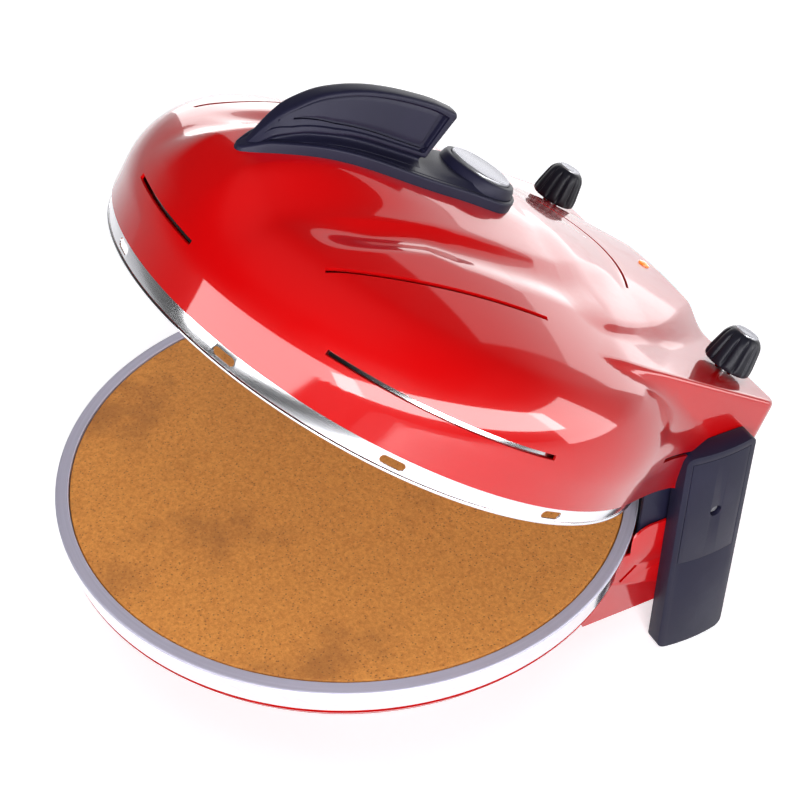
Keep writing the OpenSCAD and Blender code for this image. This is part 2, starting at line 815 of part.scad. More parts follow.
module lid_reflector() {
    outer = reflector_points(0);
    inner = reflector_points(mirror);
    vents = 11;
    color(polished) on_lid() difference() {
        union() {
            rotate_extrude()
                polygon(concat(outer, [for (i = [len(inner) - 1 : -1 : 0]) inner[i]]));
            rotate_extrude() translate([rim_r - 0.2, rim_up + 1]) circle(r = 1, $fn = 24);
        }
        for (i = [0 : vents - 1]) rotate([0, 0, -62.6 + i * 360 / vents])
            translate([rim_r - 6, 0, rim_up + 5.8]) rotate([0, 90, 0])
                linear_extrude(12) vent_outline(13, 4.6);
        for (x = [-1, 1]) translate([x * heater_tail_x, heater_tail_y + 4, heat_up])
            rotate([-90, 0, 0]) cylinder(r = tube_d / 2 + 0.8, h = 60);
    }
}

// A slot with round ends, drawn with its long side across
module vent_outline(length, height) {
    square([height, length - height], center = true);
    for (y = [-1, 1]) translate([0, y * (length - height) / 2]) circle(d = height);
}

module upper_element() {
    color("#6d6a66") on_lid() translate([0, 0, heat_up]) heating_tube(upper_tail_end);
}

module upper_element_clips() {
    color(polished) on_lid() translate([0, 0, heat_up]) mirror([0, 0, 1])
        tube_posts(reflector_up - mirror - heat_up);
}

// Cover under the deck between the reflector and the rear wall
module lid_rear_cover() {
    half = arm_x - arm_t - seam - nut_t - 2;
    low = skirt_z + 1.5;
    slope = (tail_y - deck_y) / (deck_h - skirt_z);
    rear = tail_y - slope * (low + sheet - skirt_z) - wall - seam;
    color(slate) on_lid() difference() {
        translate([-half, 90, low]) cube([2 * half, rear - 90, sheet]);
        cylinder(r = lid_r, h = 30);
    }
}

module hinge_arm(side) {
    top = deck_h - wall;
    eye_r = bolt_r + 5;
    y0 = pivot_y - 21;
    y1 = deck_y - 4;
    flange_w = arm_flange_w;
    color("#8d8f94") on_lid() on_side(side) difference() {
        union() {
            side_slab(arm_x - arm_t, arm_x)
                polygon([[pivot_y - eye_r, pivot_up], [y0, top - 26], [y0, top], [y1, top],
                    [y1, top - 26], [pivot_y + eye_r, pivot_up]]);
            translate([arm_x - arm_t, pivot_y, pivot_up]) rotate([0, 90, 0])
                cylinder(r = eye_r, h = arm_t);
            translate([arm_x - arm_t - flange_w, y0, top - 2]) cube([flange_w + cut, y1 - y0, 2]);
        }
        translate([0, pivot_y, pivot_up]) rotate([0, 90, 0])
            cylinder(r = bolt_r + run_gap, h = 200);
        arm_screw_spots() cylinder(r = 1, h = 10, center = true);
    }
}

module arm_screw_spots() {
    for (y = [pivot_y - 16, deck_y - 9])
        translate([arm_x - arm_t - arm_flange_w + 1.6, y, deck_h - wall]) children();
}

module hinge_arm_screws() {
    color("#b9bac0") on_lid() both_sides() arm_screw_spots() {
        translate([0, 0, -2]) cylinder(r = 1, h = 2);
        translate([0, 0, -3.2]) cylinder(r = 1.6, h = 1.2);
    }
}

// ---------- Handle ----------

// Half outline of the plate, from the front tip to the back
plate_side = [[3, -141], [8, -130], [12.5, -114], [16, -88], [18.5, -60], [22.5, -26],
    [25, 0], [24.5, 16], [20, 29], [14, 33]];
module plan_of(side_points) {
    polygon(concat(side_points, mirrored(side_points)));
}

module disc_spot() {
    translate([0, 0, disc_up]) rotate([-disc_lean, 0, 0]) children();
}

module handle_screw_spots() {
    for (y = handle_screw_y) translate([0, y, hood_z(0, y)]) children();
}

module handle_plate() {
    collar_r = disc_d / 2 + seam + collar_w;
    flare = 4;
    color(slate) on_lid() difference() {
        union() {
            intersection() {
                linear_extrude(2 * dome_h) plan_of(plate_side);
                translate([0, 0, plate_t]) crown_form(0, skirt_z);
            }
            disc_spot() rotate_extrude()
                polygon([[0, -14], [14, -14], [collar_r + flare, -7.4], [collar_r + flare, -5.6],
                    [collar_r + 0.4, -1.2], [collar_r - 0.8, 0], [0, 0]]);
        }
        crown_form(0, skirt_z);
        disc_spot() translate([0, 0, -disc_t]) cylinder(d = disc_d + 2 * seam, h = 10);
        handle_screw_spots() translate([0, 0, -5]) cylinder(r = screw_r, h = screw_l - wall + 5);
    }
}

// The grip's fin is lofted through stations from its tip to its rear end. Each row gives
// Y and Z of the crest, Y and Z of the lower lip, and the share of the full width there
grip_rows = [
    [-137, 76, -138, 70, 0.22], [-135.5, 83, -136, 77, 0.3], [-132.5, 91, -133, 85, 0.4],
    [-127.5, 99, -129, 91.5, 0.56], [-120.5, 106.8, -122, 97, 0.78], [-111.5, 113.6, -112, 102.3, 0.93],
    [-100, 120, -101, 105.8, 1], [-88, 124.8, -89, 108.3, 1], [-75, 128.2, -76.5, 109.6, 1],
    [-61, 130.3, -63.5, 109.8, 1], [-48, 131, -52, 109.3, 1], [-39, 130.8, -45.5, 108.8, 1],
    [-37.2, 129.6, -44, 108.8, 0.97]
];

// Half section of the fin at a station, from the middle of its crest down to its foot
function grip_half(row, inset) =
    let (top = max(0.8, grip_top_x * min(1, row[4] * 1.15) - inset),
        lip = max(1.6, grip_x * row[4] - inset),
        waist = 4 * max(0, row[4] - 0.5) / 0.5,
        seat = hood_z(0, row[2]) + plate_t,
        foot = min(seat, row[3] - 5))
    [[0, row[0], row[1]], [top * 0.72, row[0], row[1] - 0.2], [top, row[0], row[1] - 1.6],
        [lip, row[2], row[3] + 0.8], [lip - 0.4, row[2], row[3] - 0.4],
        [lip - waist * 0.8, row[2], row[3] - 2.4], [lip - waist, row[2], (row[3] + foot) / 2],
        [lip - waist * 0.6, row[2], foot + 1], [lip, row[2], foot - 0.6], [lip, row[2], 50]];

module grip_form(inset) {
    rings = [for (row = grip_rows) let (half = grip_half(row, inset), m = len(half))
        concat(half, [for (i = [m - 1 : -1 : 1]) [-half[i][0], half[i][1], half[i][2]]])];
    n = len(rings[0]);
    last = len(rings) - 1;
    ends = [for (row = [grip_rows[0], grip_rows[last]]) [0, row[2], row[3] - 4.5]];
    points = concat([for (ring = rings) for (p = ring) p], ends);
    tip = len(points) - 2;
    skin = [for (k = [0 : last - 1]) for (i = [0 : n - 1])
        let (a = k * n + i, b = k * n + (i + 1) % n)
        for (t = [[a, b + n, b], [a, a + n, b + n]]) t];
    front = [for (i = [0 : n - 1]) [tip, i, (i + 1) % n]];
    rear = [for (i = [0 : n - 1]) [tip + 1, last * n + (i + 1) % n, last * n + i]];
    polyhedron(points = points, faces = concat(skin, front, rear));
}

// Side view of the inset panel, grown by a seam for its recess
module grip_panel(grow) {
    offset(delta = grow)
        polygon([[-121.5, 103.6], [-112, 106.5], [-100, 109.8], [-88, 111.7], [-76, 112.4],
            [-63, 112.2], [-50, 112], [-46.5, 114.5], [-43.2, 126.8], [-46, 128], [-56, 128.2],
            [-67, 127], [-77, 125], [-90, 121.4], [-99.5, 117.6], [-107, 113.8], [-114, 109]]);
}

module handle_grip() {
    color(slate) on_lid() difference() {
        grip_form(0);
        translate([0, 0, plate_t]) crown_form(0, skirt_z);
        difference() {
            both_sides() side_slab(2, grip_x + cut) grip_panel(seam);
            grip_form(panel_deep);
        }
        handle_screw_spots() cylinder(r = screw_r, h = screw_l - wall);
    }
}

module grip_inset(side) {
    color("#232330") on_lid() intersection() {
        on_side(side) side_slab(2, grip_x + cut) grip_panel(0);
        difference() {
            grip_form(panel_rim);
            grip_form(panel_deep);
        }
    }
}

module centre_disc() {
    color("#e6e6ea") on_lid() disc_spot() translate([0, 0, -disc_t]) rotate_extrude()
        polygon([[0, 0], [disc_d / 2, 0], [disc_d / 2, disc_t], [disc_d / 2 - 1.5, disc_t + 1],
            [0, disc_t + 1.6]]);
}

// Screws that hold plate and grip from under the shell
module handle_screws() {
    color("#b9bac0") on_lid() handle_screw_spots() {
        translate([0, 0, -wall - 1]) cylinder(r = screw_r, h = screw_l + 1);
        translate([0, 0, -wall - 3]) cylinder(r = 3.6, h = 2);
    }
}

// ---------- Controls ----------

module thermostat(side) {
    body_r = 12.5;
    body_h = 20;
    color("#d8d4c8") on_lid() on_side(side) knob_spot() translate([0, 0, -wall]) difference() {
        union() {
            translate([0, 0, -body_h]) cylinder(r = body_r, h = body_h);
            translate([-8, -5, -body_h - 5]) cube([16, 10, 5]);
        }
        translate([0, 0, -14]) cylinder(r = shaft_d / 2 + run_gap, h = 20);
    }
}

module knob_shaft(side) {
    color(polished) on_lid() on_side(side) knob_spot()
        translate([0, 0, -wall - 13.7]) cylinder(d = shaft_d, h = wall + 13.7 + knob_gap + knob_h - 6);
}

module knob(side) {
    r0 = knob_d / 2;
    r1 = knob_top_d / 2;
    lean = atan((r0 - r1) / knob_h);
    color("#1e1e26") on_lid() on_side(side) knob_spot() translate([0, 0, knob_gap]) difference() {
        rotate_extrude()
            polygon([[0, 0], [r0 - 1.2, 0], [r0, 1.6], [r0 - 0.2, 5.5], [r1 + 1.4, knob_h - 4.6],
                [r1 - 0.4, knob_h - 1.8], [cap_r + 0.6, knob_h], [0, knob_h]]);
        for (i = [0 : knob_grooves - 1]) rotate([0, 0, i * 360 / knob_grooves])
            translate([r0, 0, 4]) rotate([0, -lean, 0]) rotate([0, 0, 45])
                translate([-1.1, -1.1, -8]) cube([2.2, 2.2, knob_h + 12]);
        translate([0, 0, -cut]) cylinder(d = shaft_d, h = knob_h - 6 + cut);
        translate([0, 0, knob_h - 1]) cylinder(r = cap_r, h = 2);
    }
}

module knob_cap(side) {
    color("#e6e6ea") on_lid() on_side(side) knob_spot()
        translate([0, 0, knob_gap + knob_h - 1]) rotate_extrude()
            polygon([[0, 0], [cap_r, 0], [cap_r, 1.2], [cap_r - 0.6, 1.8], [0, 2.2]]);
}

module pilot_lens() {
    color("#f07818") on_lid() pilot_spot() {
        translate([0, 0, -wall - 3]) cylinder(r = pilot_r - 0.2, h = wall + 3);
        rotate_extrude() polygon([[0, 0], [pilot_r, 0], [pilot_r, 0.5], [pilot_r - 1, 1.3], [0, 1.8]]);
    }
}

module pilot_lamp() {
    color("#d8d4c8") on_lid() pilot_spot() translate([0, 0, -wall - 3]) {
        translate([0, 0, -14]) cylinder(r = pilot_r - 0.2, h = 14);
        for (x = [-1.5, 1.5]) translate([x - 0.4, -1, -18]) cube([0.8, 2, 4]);
    }
}

base_shell();
rim_ring();
heater_pan();
baking_stone();
lower_element();
lower_element_clips();
centre_bolt();
bottom_plate();
bottom_screws();
front_foot(-1);  // front_foot_left
front_foot(1);  // front_foot_right
foot_pads();
rear_deck();
terminal_block();
cable_gland();
leg(-1);  // leg_left
leg(1);  // leg_right
leg_cover(-1);  // leg_cover_left
leg_cover(1);  // leg_cover_right
hinge_bracket(-1);  // hinge_bracket_left
hinge_bracket(1);  // hinge_bracket_right
hinge_bolt(-1);  // hinge_bolt_left
hinge_bolt(1);  // hinge_bolt_right
hinge_nuts();
leg_screws();
lid_shell();
lid_reflector();
upper_element();
upper_element_clips();
lid_rear_cover();
hinge_arm(-1);  // hinge_arm_left
hinge_arm(1);  // hinge_arm_right
hinge_arm_screws();
handle_plate();
handle_grip();
grip_inset(-1);  // grip_inset_left
grip_inset(1);  // grip_inset_right
centre_disc();
handle_screws();
thermostat(-1);  // thermostat_left
thermostat(1);  // thermostat_right
pilot_lens();
pilot_lamp();
knob(-1);  // knob_left
knob(1);  // knob_right
knob_cap(-1);  // knob_cap_left
knob_cap(1);  // knob_cap_right
knob_shaft(-1);  // knob_shaft_left
knob_shaft(1);  // knob_shaft_right
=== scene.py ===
"""Electric countertop oven with a hinged lid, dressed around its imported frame.

Two drawing frames are used, both in millimetres. The base frame has the stone's centre
above its zero, at table height. The lid frame is the lid drawn closed, with its zero at
the centre of the stone's top face.
"""

import json
import math

import bmesh
import bpy
import numpy as np
from mathutils import Matrix, Vector


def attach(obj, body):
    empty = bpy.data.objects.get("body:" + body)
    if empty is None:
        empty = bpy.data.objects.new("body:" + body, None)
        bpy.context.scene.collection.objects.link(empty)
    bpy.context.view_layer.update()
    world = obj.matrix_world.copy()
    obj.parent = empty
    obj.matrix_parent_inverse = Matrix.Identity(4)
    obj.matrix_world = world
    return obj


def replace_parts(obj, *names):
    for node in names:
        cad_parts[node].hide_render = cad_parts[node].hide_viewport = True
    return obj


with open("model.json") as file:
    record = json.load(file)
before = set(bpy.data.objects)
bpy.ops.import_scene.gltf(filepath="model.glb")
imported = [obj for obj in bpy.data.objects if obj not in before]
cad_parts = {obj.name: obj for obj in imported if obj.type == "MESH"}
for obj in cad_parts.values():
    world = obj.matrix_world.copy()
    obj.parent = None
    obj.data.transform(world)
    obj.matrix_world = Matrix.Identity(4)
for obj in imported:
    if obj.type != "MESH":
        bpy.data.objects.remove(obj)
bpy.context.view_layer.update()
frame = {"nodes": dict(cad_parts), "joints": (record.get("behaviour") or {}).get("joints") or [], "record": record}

# ---------- Frames ----------

MM = 0.001
STONE_H = 97.0
PIVOT = Vector((0.0, 161.3, 8.0))
hinge = next(j for j in frame["joints"] if j["name"] == "lid_hinge")
OPEN = math.radians(-hinge["range_deg"][0])
frame_y = hinge["pos_m"][1] / MM - PIVOT.y
BASE = Matrix.Scale(MM, 4) @ Matrix.Translation((0, frame_y, 0))
LID = (
    BASE
    @ Matrix.Translation((0, PIVOT.y, STONE_H + PIVOT.z))
    @ Matrix.Rotation(-OPEN, 4, "X")
    @ Matrix.Translation(-PIVOT)
)

# ---------- Sizes, in millimetres ----------

LID_R, SHOULDER_R, CROWN_R, DOME_H = 163.0, 44.0, 340.0, 95.5
LID_X, DECK_H, DECK_Y, TAIL_Y, SKIRT = 117.4, 73.5, 171.0, 183.0, 11.7
RIDGE_R, RIDGE_H, RIDGE_SLOPE = 400.0, 94.0, math.tan(math.radians(3.4))
TURN = math.asin((LID_R - SHOULDER_R) / (CROWN_R - SHOULDER_R))
CROWN_Z = DOME_H - CROWN_R
SIDE_Z = CROWN_Z + (CROWN_R - SHOULDER_R) * math.cos(TURN)
BACK_Y = [8, 65, 105, 138, DECK_Y]
BACK_LOW, BACK_HIGH = (np.polyfit(BACK_Y, half, 3) for half in ([98, 89, 78, 66, 46], [96, 89.5, 68, 43, 13]))
HOOD = dict(rise=11.0, base=1.2, peak=-122.0, reach=95.0, front=-160.0, half=50.0, nose=44.0, tip=56.0)
WALL = 1.5
KNOB_X, KNOB_Y, LAMP_Y = 91.0, 146.0, 148.0
SIDES = ((-1, "left"), (1, "right"))


# ---------- Shader maths ----------


class Value:
    """One output socket; arithmetic on it adds Math nodes to its graph."""

    def __init__(self, graph, socket):
        self.graph, self.socket = graph, socket

    def math(self, operation, *others):
        return self.graph.node("Math", {"operation": operation}, dict(enumerate((self, *others))))

    def __add__(self, other):
        return self.math("ADD", other)

    __radd__ = __add__

    def __mul__(self, other):
        return self.math("MULTIPLY", other)

    __rmul__ = __mul__

    def __sub__(self, other):
        return self.math("SUBTRACT", other)

    def __rsub__(self, other):
        return self * -1 + other

    def __pow__(self, other):
        return self.math("POWER", other)

    def step(self, low, high, start=0.0, end=1.0):
        """start below low, end above high, smooth between."""
        ranges = {0: self, 1: low, 2: high, 3: start, 4: end}
        return self.graph.node("MapRange", {"interpolation_type": "SMOOTHSTEP"}, ranges)


class Graph:
    """A node tree, and the one way to add a node to it."""

    def __init__(self, tree):
        self.tree = tree

    def node(self, kind, settings=None, sockets=None, out=0):
        made = self.tree.nodes.new("ShaderNode" + kind)
        for key, value in (settings or {}).items():
            if key == "stops":
                ramp = made.color_ramp
                while len(ramp.elements) < len(value):
                    ramp.elements.new(0.5)
                for element, (place, colour) in zip(ramp.elements, value):
                    element.position = place
                    element.color = (*colour, 1)
            else:
                setattr(made, key, value)
        for key, value in (sockets or {}).items():
            self.feed(made.inputs[key], value)
        return Value(self, made.outputs[out])

    def feed(self, socket, value):
        if isinstance(value, Value):
            self.tree.links.new(value.socket, socket)
        elif socket.type == "RGBA" and len(value) == 3:
            socket.default_value = (*value, 1)
        else:
            socket.default_value = value


class Finish(Graph):
    """A material and its Principled shader."""

    def __init__(self, name, **constants):
        self.material = bpy.data.materials.new(name)
        self.material.use_nodes = True
        super().__init__(self.material.node_tree)
        self.shader = self.tree.nodes["Principled BSDF"]
        self.set(**constants)

    def set(self, **sockets):
        for name, value in sockets.items():
            self.feed(self.shader.inputs[name.replace("_", " ").title().replace("Ior", "IOR")], value)
        return self

    def place(self, scale=(1, 1, 1), turn=(0, 0, 0)):
        """Object coordinates, turned and scaled."""
        spot = self.node("TexCoord", out="Object")
        sockets = {"Vector": spot, "Rotation": turn, "Scale": scale}
        return self.node("Mapping", {"vector_type": "POINT"}, sockets)

    def noise(self, scale, detail=3.0, rough=0.55, spot=None):
        sockets = {"Vector": spot or self.place(), "Scale": scale, "Detail": detail, "Roughness": rough}
        return self.node("TexNoise", {}, sockets)

    def mix(self, share, first, second):
        sockets = {"Factor": share, 6: first, 7: second}
        return self.node("Mix", {"data_type": "RGBA"}, sockets, out=2)

    def bump(self, height, depth, strength):
        """Normals raised by height times depth, in metres."""
        return self.node("Bump", {}, {"Height": height, "Distance": depth, "Strength": strength})


def enamel():
    """Deep glossy red: a sprayed coat with a faint ripple and a few wiped marks."""
    red = Finish("red enamel", coat_weight=1.0, coat_roughness=0.05, coat_ior=1.6, specular_ior_level=0.1)
    cloud = red.noise(9.0)
    wiped = red.noise(30.0, 6.0, 0.7, red.place(scale=(1, 0.35, 1), turn=(0, 0, 0.6)))
    red.set(
        base_color=red.mix(cloud.step(0.3, 0.7), (0.64, 0.0010, 0.0020), (0.60, 0.0008, 0.0015)),
        roughness=0.30 + 0.08 * wiped.step(0.45, 0.75),
        normal=red.bump(red.noise(160.0, 1.0), 0.00004, 0.3),
    )
    return red


def moulded(name, colour, painted_sheen, grain=1500.0, rough=0.42):
    """Fine-grained moulded plastic, a little smoother where hands rub it; in about the same broad patches its
    colour is lightened to a bluer painted reflection.
    """
    plastic = Finish(name, specular_ior_level=0.22)
    fine = plastic.noise(grain, 4.0, 0.6)
    broad = plastic.noise(22.0, 4.0)
    # In broad random patches the colour is mixed towards the second colour, which is a painted reflection.
    plastic.set(
        base_color=plastic.mix(broad.step(0.35, 0.7), colour, painted_sheen),
        roughness=rough + 0.10 * fine - 0.08 * broad.step(0.4, 0.75),
        normal=plastic.bump(fine, 0.00006, 0.55),
    )
    return plastic


def turned(name, colour, dark, rough, centre, streak=0.10, tilt=0.0, metallic=1.0):
    """Steel with fine rings left by the tool or brush, round an upright axis leaned back by tilt."""
    steel = Finish(name, metallic=metallic)
    spot = steel.node("TexCoord", out="Object")
    moved = steel.node("VectorMath", {"operation": "SUBTRACT"}, {0: spot, 1: centre})
    if tilt:
        moved = steel.node("VectorRotate", {"rotation_type": "X_AXIS"}, {"Vector": moved, "Angle": tilt})
    axes = [steel.node("SeparateXYZ", {}, {0: moved}, out=i) for i in range(3)]
    radius = (axes[0] * axes[0] + axes[1] * axes[1]) ** 0.5
    angle = axes[1].math("ARCTAN2", axes[0])
    rings = steel.node("CombineXYZ", {}, {0: radius * 900.0, 1: angle * 1.2, 2: axes[2] * 900.0})
    fine = steel.noise(1.0, 5.0, 0.65, rings)
    smudge = steel.noise(16.0, 4.0)
    steel.set(
        base_color=steel.mix(fine.step(0.25, 0.75), colour, dark),
        roughness=rough + streak * fine + 0.06 * smudge.step(0.45, 0.7),
        normal=steel.bump(fine, 0.00002, 0.5),
    )
    return steel


def plated(name, colour, rough, worn=0.05, edge=(1, 1, 1), metallic=1.0):
    """Plated metal, smudged by hands; edge is its tint at a glancing angle."""
    metal = Finish(name, metallic=metallic, specular_tint=edge)
    smudge = metal.noise(60.0, 5.0, 0.6)
    metal.set(
        base_color=metal.mix(smudge.step(0.3, 0.8), colour, tuple(0.9 * c for c in colour)),
        roughness=rough + worn * smudge,
        normal=metal.bump(metal.noise(420.0, 2.0), 0.00001, 0.3),
    )
    return metal


def fired_stone():
    """Pressed fire clay: sandy grain, small pores darkened with painted shade, and a few toasted patches."""
    stone = Finish("fired stone")
    sand = stone.noise(520.0, 6.0, 0.7)
    cloud = stone.noise(14.0, 5.0, 0.6)
    pores = stone.node("TexVoronoi", {}, {"Vector": stone.place(), "Scale": 420.0})
    # This mask marks the pores: the bump sinks them, and a darker colour is painted into them as their shade.
    pit_and_shade = 1 - pores.step(0.10, 0.26)
    body = stone.mix(sand.step(0.3, 0.72), (0.80, 0.33, 0.064), (0.56, 0.19, 0.032))
    toasted = stone.mix(cloud.step(0.5, 0.72) * 0.6, body, (0.30, 0.10, 0.022))
    stone.set(
        base_color=stone.mix(pit_and_shade * 0.6, toasted, (0.17, 0.058, 0.016)),
        roughness=0.86 - 0.08 * sand,
        normal=stone.bump(sand - pit_and_shade, 0.0004, 0.7),
    )
    return stone


def heated_tube():
    """Sheath of a heating tube, oxidised to straw, brown and blue-grey."""
    tube = Finish("heated tube", metallic=1.0)
    cloud = tube.noise(26.0, 4.0)
    stops = [(0.3, (0.16, 0.11, 0.075)), (0.5, (0.24, 0.19, 0.15)), (0.7, (0.12, 0.13, 0.16))]
    tube.set(
        base_color=tube.node("ValToRGB", {"stops": stops}, {0: cloud}),
        roughness=0.34 + 0.2 * tube.noise(300.0, 4.0),
        normal=tube.bump(tube.noise(900.0, 3.0), 0.00003, 0.6),
    )
    return tube


def plain(name, colour, shade, rough):
    """Rubber, ceramic and other dull parts."""
    dull = Finish(name)
    fine = dull.noise(700.0, 4.0, 0.65)
    dull.set(
        base_color=dull.mix(dull.noise(45.0, 4.0).step(0.35, 0.7), colour, shade),
        roughness=rough + 0.12 * fine,
        normal=dull.bump(fine, 0.00008, 0.5),
    )
    return dull


def amber_glow():
    """Clear amber plastic, ribbed inside and lit from behind."""
    lens = Finish("amber lens", roughness=0.12, coat_weight=1.0, emission_strength=0.55)
    rings = {"wave_type": "RINGS", "rings_direction": "Z"}
    ribs = lens.node("TexWave", rings, {"Vector": lens.place(), "Scale": 60.0})
    lens.set(
        base_color=lens.mix(ribs, (0.90, 0.20, 0.02), (0.98, 0.34, 0.05)),
        emission_color=(1.0, 0.25, 0.03),
        normal=lens.bump(lens.noise(900.0, 2.0), 0.00003, 0.4),
    )
    return lens


stone_axis = tuple(BASE @ Vector((0, 0, 0)))
lid_axis = tuple(LID @ Vector((0, 0, 0)))
FINISHES = {
    "red_enamel": enamel(),
    # The second colour of each plastic is its painted reflection.
    "slate_plastic": moulded("slate plastic", (0.011, 0.0104, 0.030), (0.015, 0.0142, 0.038)),
    "black_plastic": moulded("black plastic", (0.009, 0.009, 0.015), (0.014, 0.014, 0.022), 1700.0, 0.36),
    "steel_ring": turned("ring steel", (0.56, 0.54, 0.67), (0.49, 0.47, 0.59), 0.36, stone_axis, metallic=0.25),
    "bright_steel": turned("bright steel", (0.86, 0.86, 0.88), (0.74, 0.74, 0.77), 0.10, lid_axis, 0.06, OPEN),
    "zinc_steel": plated("zinc steel", (0.60, 0.60, 0.62), 0.34, 0.14),
    "chrome_metal": plated("chrome", (0.46, 0.46, 0.49), 0.17, edge=(0.45, 0.45, 0.48), metallic=0.55),
    "heating_tube": heated_tube(),
    "stone": fired_stone(),
    "black_rubber": plain("black rubber", (0.010, 0.010, 0.011), (0.016, 0.016, 0.017), 0.62),
    "ceramic_body": plain("white ceramic", (0.74, 0.71, 0.62), (0.66, 0.62, 0.53), 0.5),
    "amber_lens": amber_glow(),
}

# ---------- Making pieces ----------

SLOTS = {s["node"]: s["material_slot"] for s in frame["record"]["subparts"]}
BODY_OF = {n: b for b, nodes in frame["record"]["behaviour"]["bodies"].items() for n in nodes}
MERGE = 0.0005


def piece(name, bm, node, where, angle=32.0, slot=None):
    """Makes an object of a bmesh drawn in the frame where, riding on the node's body."""
    mesh = bpy.data.meshes.new(name)
    bmesh.ops.transform(bm, matrix=where, verts=bm.verts)
    bm.to_mesh(mesh)
    bm.free()
    return dress(name, mesh, node, angle, slot)


def dress(name, mesh, node, angle=32.0, slot=None):
    """Makes an object of a mesh, with its finish and body; edges sharper than angle stay crisp."""
    for polygon in mesh.polygons:
        polygon.use_smooth = True
    mesh.set_sharp_from_angle(angle=math.radians(angle))
    thing = bpy.data.objects.new(name, mesh)
    bpy.context.scene.collection.objects.link(thing)
    slot = slot or SLOTS[node]
    mesh.materials.append(FINISHES[slot].material)
    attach(thing, BODY_OF[node])
    return thing


def turned_form(profile, segments=256):
    """A closed profile of (radius, height) points spun once round the Z axis."""
    bm = bmesh.new()
    points = [bm.verts.new((r, 0, z)) for r, z in profile]
    pairs = zip(points, points[1:] + points[:1])
    edges = [bm.edges.new(pair) for pair in pairs if any(vertex.co.x for vertex in pair)]
    bmesh.ops.spin(
        bm, geom=points + edges, cent=(0, 0, 0), axis=(0, 0, 1), angle=2 * math.pi,
        steps=segments, use_merge=True, use_duplicate=False,
    )
    bmesh.ops.remove_doubles(bm, verts=bm.verts, dist=MERGE)
    bmesh.ops.recalc_face_normals(bm, faces=bm.faces)
    return bm


def curve(x, z, r, start, end, steps=6):
    """Points of an arc in a profile, angles in degrees."""
    turns = [math.radians(start + (end - start) * i / steps) for i in range(steps + 1)]
    return [(x + r * math.cos(t), z + r * math.sin(t)) for t in turns]


def rounded_copy(node, radius, slot=None):
    """Replaces a frame node by a copy with its loose triangles joined and its sharp edges eased."""
    bm = bmesh.new()
    bm.from_mesh(frame["nodes"][node].data)
    bmesh.ops.remove_doubles(bm, verts=bm.verts, dist=2e-6)
    bmesh.ops.dissolve_limit(bm, angle_limit=math.radians(1.0), verts=bm.verts, edges=bm.edges)
    sharp = [e for e in bm.edges if len(e.link_faces) == 2 and e.calc_face_angle(0) > math.radians(28)]
    bmesh.ops.bevel(
        bm, geom=sharp, offset=radius * MM, offset_type="OFFSET", segments=2,
        profile=0.5, affect="EDGES", material=-1, clamp_overlap=True,
    )
    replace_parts(piece(node + "_eased", bm, node, Matrix.Identity(4), 36.0, slot), node)


# ---------- Lid shell ----------

# Each form is a field: a function of points that is negative inside it and zero on its skin.


def smooth(t):
    """0 below 0, 1 above 1, smooth between."""
    t = np.clip(t, 0, 1)
    return t * t * (3 - 2 * t)


def meet(a, b, r):
    """Both shapes' common part, with its outer edge rounded by r."""
    return np.minimum(np.maximum(a, b), -r) + np.hypot(np.maximum(r + a, 0), np.maximum(r + b, 0))


def join(a, b, r):
    """The two shapes together, with their inner corner filled by r."""
    return np.maximum(np.minimum(a, b), r) - np.hypot(np.maximum(r - a, 0), np.maximum(r - b, 0))


def dome_height(r):
    """Height of the dome at a distance from its axis."""
    crown = CROWN_Z + np.sqrt(np.maximum(0, CROWN_R**2 - r * r))
    side = SIDE_Z + np.sqrt(np.maximum(0, SHOULDER_R**2 - (r - LID_R + SHOULDER_R) ** 2))
    return np.where(r < CROWN_R * math.sin(TURN), crown, side)


def hood_lift(x, y):
    """Height of the hood over the dome, from its front edge to its rounded nose."""
    fade = np.clip((y - HOOD["front"]) / 22, 0, 1)
    swell = np.cos(np.minimum(90, np.abs(y - HOOD["peak"]) / HOOD["reach"] * 90) * math.pi / 180) ** 2
    nose = np.clip((y - HOOD["nose"]) / HOOD["tip"], 0, 0.999)
    half = HOOD["half"] * np.sqrt(1 - nose**2)
    t = np.clip((np.abs(x) / half - 0.3) / 0.7, 0, 1)
    return (HOOD["rise"] * swell + HOOD["base"]) * fade * (2 - fade) * (1 - smooth(t)) ** 1.3


def crown_height(x, y):
    return dome_height(np.hypot(x, y)) + hood_lift(x, y)


# The hollow's inner and outer edge: Y, and X there
SCOOP_INNER = (
    [-150, -112, -54, -34, -12, 10, 28, 42, 56, 73, 105],
    [43, 46, 49.5, 53, 55.5, 56.5, 54.5, 49, 42, 34, 24],
)
SCOOP_OUTER = ([-150, -62, -46, -16, 20, 48, 89, 105], [66, 74, 82, 89, 92, 86, 56, 30])
SCOOP_DEPTH = 5.4


def scoop(x, y):
    """Depth of the hollow on each side of the hood, sharp along the hood and fading outwards."""
    inner, outer = np.interp(y, *SCOOP_INNER), np.interp(y, *SCOOP_OUTER)
    t = (np.abs(x) - inner) / (outer - inner)
    t = np.clip((t + np.sqrt(t * t + 0.003)) / 2, 0, 1)
    ends = smooth((y + 126) / 40) * (1 - smooth((y - 42) / 46))
    return SCOOP_DEPTH * ends * (1 - (1 - t) ** 3) * (1 - smooth((t - 0.22) / 0.78))


def dome_field(p):
    x, y, z = p[:, 0], p[:, 1], p[:, 2]
    r = np.hypot(x, y)
    z = z - hood_lift(x, y) * np.clip((z - 30) / 20, 0, 1)
    crown = np.hypot(r, z - CROWN_Z) - CROWN_R
    side = np.where(z > SIDE_Z, np.hypot(r - LID_R + SHOULDER_R, z - SIDE_Z) - SHOULDER_R, r - LID_R)
    return np.where(r < (z - CROWN_Z) * math.tan(TURN), crown, side)


